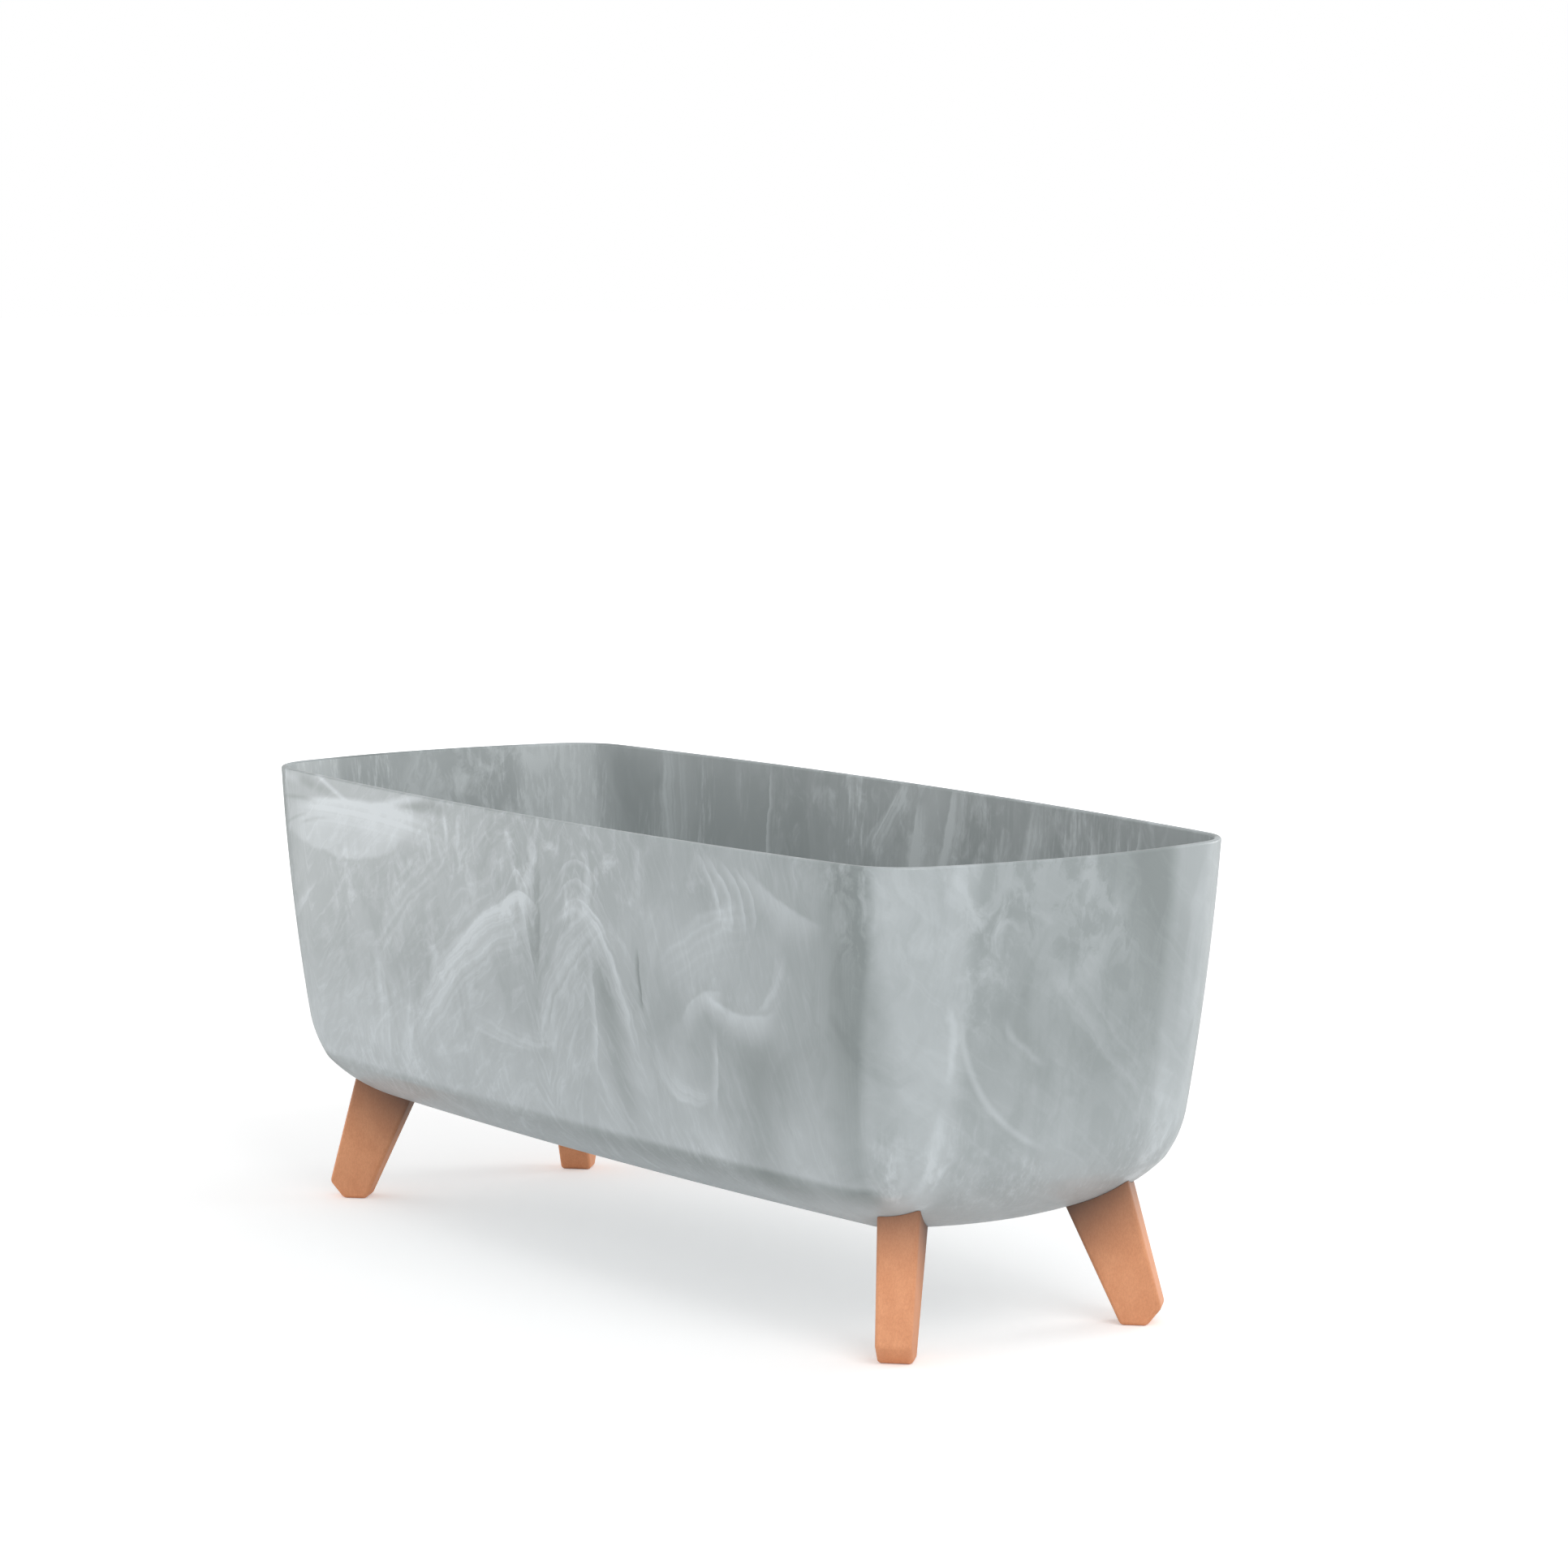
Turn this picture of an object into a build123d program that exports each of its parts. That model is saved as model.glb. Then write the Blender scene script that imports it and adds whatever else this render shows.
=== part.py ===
from build123d import *
import os
from math import cos, radians, sin, sqrt, tan

# Raised planter: a moulded tub with bowed, leaning walls on four splayed legs.
# Millimetres, +Z up, origin on the ground under the middle of the tub, front towards -Y.

# Tub, outside
TUB_LENGTH = 600.0
TUB_WIDTH = 250.0
OVERALL_HEIGHT = 242.0
FLOOR_HEIGHT = 56.0
END_DRAFT = 23.0
SIDE_DRAFT = 21.5
SIDE_BELLY = 4.0
SIDE_BOW_RIM = 17.5
SIDE_BOW_BASE = 7.5
END_BOW = 16.5
CORNER_RADIUS = 36.0
CORNER_RADIUS_AT_FLOOR = 2.0

# Tub, rounding from the walls into the floor
END_ROUNDING = 53.0
SIDE_UPPER_ROUNDING = 78.0
SIDE_CREASE_ROUNDING = 8.0
SIDE_LOWER_ROUNDING = 59.0
CREASE_START_ANGLE = 16.0
CREASE_END_ANGLE = 35.0

# Tub, wall
WALL = 3.0
LIP_ROUNDING = 1.2
LIP_WALL_SHARE = 0.45

# Drain marks: thin discs in the floor, to be drilled out where drainage is wanted
DRAIN_DIAMETER = 12.0
DRAIN_SKIN = 1.2
DRAIN_SPACING_X = 150.0
DRAIN_COUNT = 3

# Legs
FOOT_INSET_X = 36.5
FOOT_INSET_Y = 40.0
FOOT_WIDTH = 23.0
LEG_HEADING = 45.0
LEG_OUTER_LEAN = 15.0
LEG_INNER_LEAN = 25.0
FOOT_THICKNESS = 17.4
LEG_SIDE_TAPER = 1.4
TOE_HEIGHT = 9.4
TOE_CUT = 10.0
LEG_EDGE_ROUNDING = 2.0
LEG_SEAT_GAP = 0.2

# Leg screws, one driven along each leg from inside the tub
SCREW_DIAMETER = 6.0
SCREW_LENGTH = 45.0
SCREW_POINT = 2.0
SCREW_TIP_DIAMETER = 3.0
SCREW_HEAD_FLATS = 10.0
SCREW_HEAD_HEIGHT = 4.0
SCREW_HOLE_GAP = 0.3
SCREW_BITE_GAP = 0.05

# Sealing washers and the round pads they sit on
WASHER_DIAMETER = 18.0
WASHER_THICKNESS = 2.5
WASHER_BORE_GAP = 0.1
PAD_MARGIN = 1.5
PAD_HEIGHT = 5.0

WALL_HEIGHT = OVERALL_HEIGHT - FLOOR_HEIGHT
LEVEL_TOLERANCE = 0.01

# Number of sections that each band of the tub is lofted through
UNDERSIDE_SECTION_COUNT = 5
CREASE_SECTION_COUNT = 2
UPPER_SECTION_COUNT = 3
WALL_SECTION_COUNT = 3
LIP_SECTION_COUNT = 2


def side_arcs(offset):
    """The three arcs that round a long side into the floor, as (radius, start angle, end angle)."""
    start, end = radians(CREASE_START_ANGLE), radians(CREASE_END_ANGLE)
    return [
        (SIDE_UPPER_ROUNDING - offset, 0.0, start),
        (SIDE_CREASE_ROUNDING - offset, start, end),
        (SIDE_LOWER_ROUNDING - offset, end, radians(90.0)),
    ]


def side_rounding_height(offset):
    """Height above the floor at which a long side starts to round in."""
    return sum(radius * (sin(last) - sin(first)) for radius, first, last in side_arcs(offset))


def side_inset(height, offset):
    """How far a long side has rounded in at a height above the floor."""
    drop = side_rounding_height(offset) - height
    inset = 0.0
    for radius, first, last in side_arcs(offset):
        span = radius * (sin(last) - sin(first))
        step = min(max(drop, 0.0), span)
        turned = min(sin(first) + step / radius, 1.0)
        inset += radius * (cos(first) - sqrt(1.0 - turned**2))
        drop -= span
    return inset


def end_roundness(height, offset):
    """How upright an end is at a height above the floor: 1 on the wall, falling to 0 at the floor."""
    radius = END_ROUNDING - offset
    rise = min(max(height, 0.0) / radius, 1.0)
    return sqrt(1.0 - (1.0 - rise) ** 2)


def plan_outline(level, offset):
    """The tub's outline at a level, drawn in by an offset: four bowed sides with rounded corners."""
    fall = (OVERALL_HEIGHT - level) / WALL_HEIGHT
    height = level - FLOOR_HEIGHT - offset
    roundness = end_roundness(height, offset)
    half_length = TUB_LENGTH / 2 - END_DRAFT * fall - offset
    half_length -= (END_ROUNDING - offset) * (1.0 - roundness)
    half_width = TUB_WIDTH / 2 - SIDE_DRAFT * fall - offset + SIDE_BELLY * 4.0 * fall * (1.0 - fall)
    half_width -= side_inset(height, offset)
    side_bow = SIDE_BOW_RIM + (SIDE_BOW_BASE - SIDE_BOW_RIM) * fall
    corner_x = half_length - END_BOW
    corner_y = half_width - side_bow
    rear = ThreePointArc((corner_x, corner_y), (0, half_width), (-corner_x, corner_y))
    left = ThreePointArc((-corner_x, corner_y), (-half_length, 0), (-corner_x, -corner_y))
    front = ThreePointArc((-corner_x, -corner_y), (0, -half_width), (corner_x, -corner_y))
    right = ThreePointArc((corner_x, -corner_y), (half_length, 0), (corner_x, corner_y))
    outline = make_face([rear, left, front, right])
    radius = max((CORNER_RADIUS - offset) * roundness, CORNER_RADIUS_AT_FLOOR)
    return Pos(0, 0, level) * fillet(outline.vertices(), radius)


def spread(first, last, count):
    """Evenly spaced values from the first to the last."""
    return [first + (last - first) * step / (count - 1) for step in range(count)]


def lip_radius():
    """Radius of the lip's two rounded edges, which leave a flat between them."""
    return min(LIP_ROUNDING, LIP_WALL_SHARE * WALL)


def tub_levels(offset):
    """The levels of the tub's sections: up the underside, the crease, the upper rounding and the wall."""
    floor = FLOOR_HEIGHT + offset
    _, (crease, first, last), (lower, _, under) = side_arcs(offset)
    turns = spread(under, last, UNDERSIDE_SECTION_COUNT)
    underside = [floor + lower * (1.0 - sin(turn)) for turn in turns]
    crease_top = underside[-1] + crease * (sin(last) - sin(first))
    wall_foot = floor + max(END_ROUNDING - offset, side_rounding_height(offset))
    upper = spread(underside[-1], crease_top, CREASE_SECTION_COUNT)
    upper += spread(crease_top, wall_foot, UPPER_SECTION_COUNT)[1:]
    wall = spread(wall_foot, OVERALL_HEIGHT - lip_radius(), WALL_SECTION_COUNT)
    return underside + upper[1:] + wall[1:]


def tub_form(offset):
    """The tub's closed form, drawn in by an offset, from its floor up to the foot of the lip."""
    return loft([plan_outline(level, offset) for level in tub_levels(offset)], ruled=True)


def lip_form(offset, side):
    """The band at the rim whose edge turns a quarter circle, inwards for side 1 or outwards for side -1."""
    radius = lip_radius()
    outlines = []
    for turn in spread(0.0, radians(90.0), LIP_SECTION_COUNT):
        level = OVERALL_HEIGHT - radius * (1.0 - sin(turn))
        outlines.append(plan_outline(level, offset + side * radius * (1.0 - cos(turn))))
    return loft(outlines, ruled=True)


def leg_plane():
    """Upright plane along the front right leg: X outwards, Y up, from the outer corner of its foot."""
    heading = Vector(cos(radians(LEG_HEADING)), -sin(radians(LEG_HEADING)), 0)
    corner = (TUB_LENGTH / 2 - FOOT_INSET_X, FOOT_INSET_Y - TUB_WIDTH / 2, 0)
    return Plane(corner, x_dir=heading, z_dir=heading.cross(Vector(0, 0, 1)))


def leg_lean():
    """Slope of the leg's middle line, inwards for each unit of height."""
    return (tan(radians(LEG_OUTER_LEAN)) + tan(radians(LEG_INNER_LEAN))) / 2


def leg_blank():
    """The front right leg before its top is cut to the tub: a tapered bar with a cut toe."""
    top = FLOOR_HEIGHT + END_ROUNDING
    outer, inner = tan(radians(LEG_OUTER_LEAN)), tan(radians(LEG_INNER_LEAN))
    side_outline = Polyline(
        (-FOOT_WIDTH, 0),
        (-TOE_CUT, 0),
        (-outer * TOE_HEIGHT, TOE_HEIGHT),
        (-outer * top, top),
        (-FOOT_WIDTH - inner * top, top),
        close=True,
    )
    half_foot = FOOT_THICKNESS / 2
    half_top = half_foot + tan(radians(LEG_SIDE_TAPER)) * top
    end_outline = Polyline(
        (-half_foot, 0), (half_foot, 0), (half_top, top), (-half_top, top), close=True
    )
    plane = leg_plane()
    reach = FOOT_WIDTH + inner * top
    end_plane = Plane(plane.origin, x_dir=plane.z_dir, z_dir=-plane.x_dir)
    side_bar = extrude(plane * make_face(side_outline), amount=half_top, both=True)
    end_bar = extrude(end_plane * make_face(end_outline), amount=reach)
    bar = side_bar & end_bar
    lengthwise = [edge for edge in bar.edges() if abs((edge @ 1).Z - (edge @ 0).Z) > LEVEL_TOLERANCE]
    return fillet(lengthwise, LEG_EDGE_ROUNDING)


def pad_plane(cavity):
    """Plane of the front right screw pad: square to the leg, X outwards, raised off the tub's inside."""
    plane = leg_plane()
    lean = leg_lean()
    axis = plane.y_dir - plane.x_dir * lean
    foot_middle = plane.origin - plane.x_dir * (FOOT_WIDTH / 2)
    inside = cavity.intersect(Edge.make_line(foot_middle, foot_middle + axis * OVERALL_HEIGHT))
    seat = min((end for edge in inside.edges() for end in (edge @ 0, edge @ 1)), key=lambda end: end.Z)
    axis = axis.normalized()
    across = plane.z_dir
    return Plane(seat + axis * PAD_HEIGHT, x_dir=axis.cross(across), z_dir=axis)


def screw():
    """A hexagon-head screw with a blunt point, its head seated at zero and its point down."""
    shank = SCREW_DIAMETER / 2
    tip = SCREW_TIP_DIAMETER / 2
    outline = Polyline(
        (0, 0),
        (0, -SCREW_LENGTH),
        (tip, -SCREW_LENGTH),
        (shank, SCREW_POINT - SCREW_LENGTH),
        (shank, 0),
        close=True,
    )
    head = RegularPolygon(SCREW_HEAD_FLATS / 2, 6, major_radius=False)
    return revolve(Plane.XZ * make_face(outline), Axis.Z) + extrude(head, amount=SCREW_HEAD_HEIGHT)


def washer():
    """A flat sealing washer lying on its pad at zero."""
    bore = SCREW_DIAMETER / 2 + WASHER_BORE_GAP
    ring = Cylinder(WASHER_DIAMETER / 2, WASHER_THICKNESS) - Cylinder(bore, WASHER_THICKNESS)
    return Pos(0, 0, WASHER_THICKNESS / 2) * ring


def four_corners(shape):
    """The front right shape with its mirror images, as front right, front left, rear right, rear left."""
    front = [shape, mirror(shape, about=Plane.YZ)]
    return front + [mirror(item, about=Plane.XZ) for item in front]


outer_form = tub_form(0.0).fuse(lip_form(0.0, 1))
cavity = tub_form(WALL).fuse(lip_form(WALL, -1))
seat_form = tub_form(-LEG_SEAT_GAP)
pad_place = pad_plane(cavity)
bore_depth = SCREW_LENGTH - WASHER_THICKNESS

# Tub: walls, rounded lip, screw pads with their holes, and drain marks in the underside
tub = outer_form - cavity
pad_root = PAD_HEIGHT + END_ROUNDING / 2
pad = extrude(pad_place * Circle(WASHER_DIAMETER / 2 + PAD_MARGIN), amount=-pad_root) & outer_form
tub = tub.fuse(*four_corners(pad))
hole = pad_place * Cylinder(SCREW_DIAMETER / 2 + SCREW_HOLE_GAP, 2 * bore_depth)
tub = tub.cut(*four_corners(hole))
mark = Cylinder(DRAIN_DIAMETER / 2, 2 * (WALL - DRAIN_SKIN))
for step in range(DRAIN_COUNT):
    tub = tub - Pos((step - (DRAIN_COUNT - 1) / 2) * DRAIN_SPACING_X, 0, FLOOR_HEIGHT) * mark

# Legs: cut to the tub's underside and bored for the screws
bore = pad_place * Cylinder(SCREW_DIAMETER / 2 + SCREW_BITE_GAP, 2 * bore_depth)
leg = leg_blank() - seat_form - bore

leg_names = ["leg_front_right", "leg_front_left", "leg_rear_right", "leg_rear_left"]
nodes = {"planter_tub": tub}
nodes.update(zip(leg_names, four_corners(leg)))
nodes["leg_screws"] = Compound(four_corners(pad_place * Pos(0, 0, WASHER_THICKNESS) * screw()))
nodes["sealing_washers"] = Compound(four_corners(pad_place * washer()))

os.makedirs("parts", exist_ok=True)
for name, shape in nodes.items():
    export_step(shape, f"parts/{name}.step")
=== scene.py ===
"""Raised planter on legs: a marbled plastic tub on four splayed wood-composite legs.

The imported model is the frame. Every piece here is in metres and in that frame: +X runs along the
tub, -Y is its front and +Z is up.
"""

import logging
import math
from dataclasses import dataclass, field
from enum import Enum
from functools import reduce
from typing import Any, Callable, NamedTuple, Sequence, Union

import bmesh
import bpy
from mathutils import Matrix, Vector


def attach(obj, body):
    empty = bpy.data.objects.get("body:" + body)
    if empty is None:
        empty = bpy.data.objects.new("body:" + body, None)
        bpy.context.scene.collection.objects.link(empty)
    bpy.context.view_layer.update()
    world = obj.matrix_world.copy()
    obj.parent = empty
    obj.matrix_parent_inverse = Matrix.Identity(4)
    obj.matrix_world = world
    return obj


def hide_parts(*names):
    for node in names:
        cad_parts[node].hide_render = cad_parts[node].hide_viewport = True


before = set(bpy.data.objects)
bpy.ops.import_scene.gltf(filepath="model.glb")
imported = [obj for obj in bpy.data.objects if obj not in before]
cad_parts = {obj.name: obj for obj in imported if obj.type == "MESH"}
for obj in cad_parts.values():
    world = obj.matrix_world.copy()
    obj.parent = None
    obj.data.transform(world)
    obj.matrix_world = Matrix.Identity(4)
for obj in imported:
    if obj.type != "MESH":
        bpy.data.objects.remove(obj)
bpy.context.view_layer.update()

LOG = logging.getLogger("planter")
BODY = "root"
MM = 0.001
SAME_POINT = 1e-6
FLAT_CAP_SIDES = 40
FLOAT = "NodeSocketFloat"
VECTOR = "NodeSocketVector"
WHITE = (1.0, 1.0, 1.0, 1.0)

Socket = bpy.types.NodeSocket
Value = Union[Socket, float, Sequence[float]]
Colour = tuple[float, float, float, float]


class Skin(Enum):
    """The two faces of the tub's wall, by material slot."""

    OUTER = 0
    INNER = 1


class Corner(Enum):
    """The tub's four corners, as the signs of their X and Y."""

    FRONT_LEFT = (-1, -1)
    FRONT_RIGHT = (1, -1)
    REAR_LEFT = (-1, 1)
    REAR_RIGHT = (1, 1)

    @property
    def leg_node(self) -> str:
        """The name of the frame's leg at this corner."""
        return "leg_" + self.name.lower()

    @property
    def turn(self) -> Matrix:
        """The reflection that carries the rear right corner to this one."""
        return Matrix.Diagonal((*self.value, 1, 1))


class Step(NamedTuple):
    """A smooth step: where it starts and ends, and the values before and after it."""

    low: float
    high: float
    before: float = 0.0
    after: float = 1.0


class Noise(NamedTuple):
    """A noise: features to a metre, octaves, how strong the finer ones are, and how far it is bent.

    Its shift sets it apart from other noises, and one whose upright is below 1 stands tall.
    """

    scale: Value
    detail: float = 2.0
    roughness: float = 0.5
    distortion: float = 0.0
    shift: tuple[float, float, float] = (0, 0, 0)
    upright: float = 1.0


class Graph:
    """Builds shader nodes in one node tree, with the fewest words per node."""

    def __init__(self, tree: bpy.types.NodeTree) -> None:
        """Keeps the tree that the nodes go into."""
        self.tree = tree

    def feed(self, socket: Socket, value: Value) -> None:
        """Links a socket or sets its value.

        Args:
            socket: the input to feed.
            value: an output to link, or a plain value.
        """
        if isinstance(value, bpy.types.NodeSocket):
            self.tree.links.new(value, socket)
        else:
            socket.default_value = value

    def add(self, kind: str, inputs: dict[Any, Value], **settings: Any) -> bpy.types.Node:
        """Adds a node.

        Args:
            kind: the node's type name, without the ShaderNode prefix.
            inputs: what feeds its inputs, by name or number.
            settings: the node's own properties.

        Returns:
            The node.
        """
        node = self.tree.nodes.new("ShaderNode" + kind)
        for name, setting in settings.items():
            setattr(node, name, setting)
        for key, value in inputs.items():
            self.feed(node.inputs[key], value)
        return node

    def math(self, operation: str, *values: Value) -> Socket:
        """A Math node's result."""
        return self.add("Math", dict(enumerate(values)), operation=operation).outputs[0]

    def times(self, *values: Value) -> Socket:
        """The product of two values or more."""
        return reduce(lambda first, second: self.math("MULTIPLY", first, second), values)

    def layer(self, base: Value, value: Value, gain: Value) -> Socket:
        """A base with a value laid over it: base + value * gain."""
        return self.math("MULTIPLY_ADD", value, gain, base)

    def vector(self, operation: str, *values: Value) -> Socket:
        """A Vector Math node's vector."""
        return self.add("VectorMath", dict(enumerate(values)), operation=operation).outputs[0]

    def dot(self, vector: Value, direction: Sequence[float]) -> Socket:
        """How far a point lies along a direction, in the direction's own length."""
        node = self.add("VectorMath", {0: vector, 1: direction}, operation="DOT_PRODUCT")
        return node.outputs["Value"]

    def apart(self, vector: Value) -> bpy.types.NodeOutputs:
        """The X, Y and Z of a vector."""
        return self.add("SeparateXYZ", {0: vector}).outputs

    def together(self, **axes: Value) -> Socket:
        """A vector of the X, Y and Z that are given."""
        return self.add("CombineXYZ", axes).outputs[0]

    def object_place(self) -> Socket:
        """The point's place in the piece's own frame."""
        return self.add("TexCoord", {}).outputs["Object"]

    def place(self, vector: Value, shift: Sequence[float] = (0, 0, 0), upright: float = 1.0) -> Socket:
        """Coordinates that are shifted, and shrunk in height so that their pattern stands tall."""
        inputs = {"Vector": vector, "Location": shift, "Scale": (1, 1, upright)}
        return self.add("Mapping", inputs).outputs[0]

    def noise(self, vector: Value, noise: Noise) -> bpy.types.NodeOutputs:
        """A noise texture.

        Args:
            vector: the coordinates, before the noise's own shift.
            noise: the noise.

        Returns:
            The node's outputs, Fac and Color.
        """
        inputs = dict(zip(("Scale", "Detail", "Roughness", "Distortion"), noise))
        placed = self.place(vector, noise.shift, noise.upright)
        return self.add("TexNoise", inputs | {"Vector": placed}).outputs

    def thread(self, value: Value, noise: Noise) -> Socket:
        """Noise along a line, 0 to 1."""
        inputs = dict(zip(("Scale", "Detail", "Roughness"), noise))
        return self.add("TexNoise", inputs | {"W": value}, noise_dimensions="1D").outputs["Fac"]

    def ramp(self, value: Value, step: Step) -> Socket:
        """A value that has gone through a smooth step."""
        inputs = {"Value": value} | dict(zip(("From Min", "From Max", "To Min", "To Max"), step))
        return self.add("MapRange", inputs, interpolation_type="SMOOTHSTEP").outputs[0]

    def mix(self, factor: Value, first: Value, second: Value) -> Socket:
        """Mixes two colours.

        Args:
            factor: how much of the second.
            first: the first colour.
            second: the second colour.

        Returns:
            The mixed colour.
        """
        node = self.add("Mix", {"Factor": factor}, data_type="RGBA")
        colours = [socket for socket in node.inputs if socket.type == "RGBA"]
        self.feed(colours[0], first)
        self.feed(colours[1], second)
        return next(socket for socket in node.outputs if socket.type == "RGBA")

    def group(self, tree: bpy.types.NodeTree, **inputs: Value) -> bpy.types.NodeOutputs:
        """A node group's outputs."""
        return self.add("Group", inputs, node_tree=tree).outputs


def to_linear(red: int, green: int, blue: int) -> Colour:
    """A screen colour as the linear colour that a shader takes.

    Args:
        red: 0 to 255.
        green: 0 to 255.
        blue: 0 to 255.

    Returns:
        The linear colour, opaque.
    """
    def channel(level: int) -> float:
        """One channel's linear value."""
        share = level / 255
        return share / 12.92 if share <= 0.04045 else ((share + 0.055) / 1.055) ** 2.4
    return channel(red), channel(green), channel(blue), 1.0


def round_edges(mesh: bmesh.types.BMesh, edges: list[bmesh.types.BMEdge], offset: float,
                segments: int) -> list[bmesh.types.BMVert]:
    """Rounds edges and gives the vertices that this adds."""
    return bmesh.ops.bevel(mesh, geom=edges, offset=offset, segments=segments, profile=0.5,
                           affect="EDGES", material=-1)["verts"]


def add_bar(mesh: bmesh.types.BMesh, sides: int, radius: float, height: float,
            middle: Sequence[float]) -> list[bmesh.types.BMVert]:
    """Adds an upright bar, round or with a few sides, and gives its vertices."""
    return bmesh.ops.create_cone(mesh, cap_ends=True, segments=sides, radius1=radius, radius2=radius,
                                 depth=height, matrix=Matrix.Translation(middle))["verts"]


def face_outwards(mesh: bmesh.types.BMesh) -> None:
    """Turns every face of a closed mesh outwards."""
    bmesh.ops.recalc_face_normals(mesh, faces=mesh.faces[:])


def finish_mesh(name: str, mesh: bmesh.types.BMesh, slots: int = 1) -> bpy.types.Object:
    """Makes an object of a mesh, at the origin.

    Args:
        name: the piece's name.
        mesh: the mesh, which is freed.
        slots: how many material slots it has, still empty.

    Returns:
        The object, linked to the scene.
    """
    data = bpy.data.meshes.new(name)
    mesh.to_mesh(data)
    mesh.free()
    for _ in range(slots):
        data.materials.append(None)
    piece = bpy.data.objects.new(name, data)
    bpy.context.scene.collection.objects.link(piece)
    return piece


def carve(piece: bpy.types.Object, tool: bpy.types.Object, operation: str) -> None:
    """Applies a Boolean to a piece and removes its tool.

    Args:
        piece: the piece that changes.
        tool: the other body.
        operation: DIFFERENCE or UNION.
    """
    modifier = piece.modifiers.new("carve", "BOOLEAN")
    modifier.operation = operation
    modifier.solver = "EXACT"
    modifier.object = tool
    modifier.material_mode = "INDEX"
    depsgraph = bpy.context.evaluated_depsgraph_get()
    result = bpy.data.meshes.new_from_object(piece.evaluated_get(depsgraph))
    leftovers = [piece.data, tool.data]
    piece.modifiers.clear()
    piece.data = result
    bpy.data.objects.remove(tool)
    for mesh in leftovers:
        bpy.data.meshes.remove(mesh)


def soften(piece: bpy.types.Object, angle: float) -> None:
    """Shades a piece smooth, but for edges sharper than an angle.

    Args:
        piece: the piece.
        angle: the sharpest edge that still shades smooth, in radians.
    """
    piece.data.shade_smooth()
    mesh = bmesh.new()
    mesh.from_mesh(piece.data)
    many_sided = [face for face in mesh.faces if 4 < len(face.verts) < FLAT_CAP_SIDES]
    bmesh.ops.triangulate(mesh, faces=many_sided, quad_method="BEAUTY", ngon_method="BEAUTY")
    for edge in mesh.edges:
        edge.smooth = len(edge.link_faces) == 2 and edge.calc_face_angle(math.pi) < angle
    mesh.to_mesh(piece.data)
    mesh.free()
    weighted = piece.modifiers.new("flat_faces", "WEIGHTED_NORMAL")
    weighted.keep_sharp = True


class Arc(NamedTuple):
    """One arc of a wall's rounding: its radius, and the angles where it starts and ends."""

    radius: float
    start: float
    end: float

    @property
    def height(self) -> float:
        """How far down it reaches."""
        return self.radius * (math.sin(self.end) - math.sin(self.start))

    def angles(self, steps: int) -> list[float]:
        """The angles that divide it into steps, without its end."""
        return [self.start + (self.end - self.start) * step / steps for step in range(steps)]


class Station(NamedTuple):
    """One row of the tub's skin: its level, how far inside the outer skin it lies, and its face."""

    level: float
    offset: float
    skin: Skin


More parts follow.
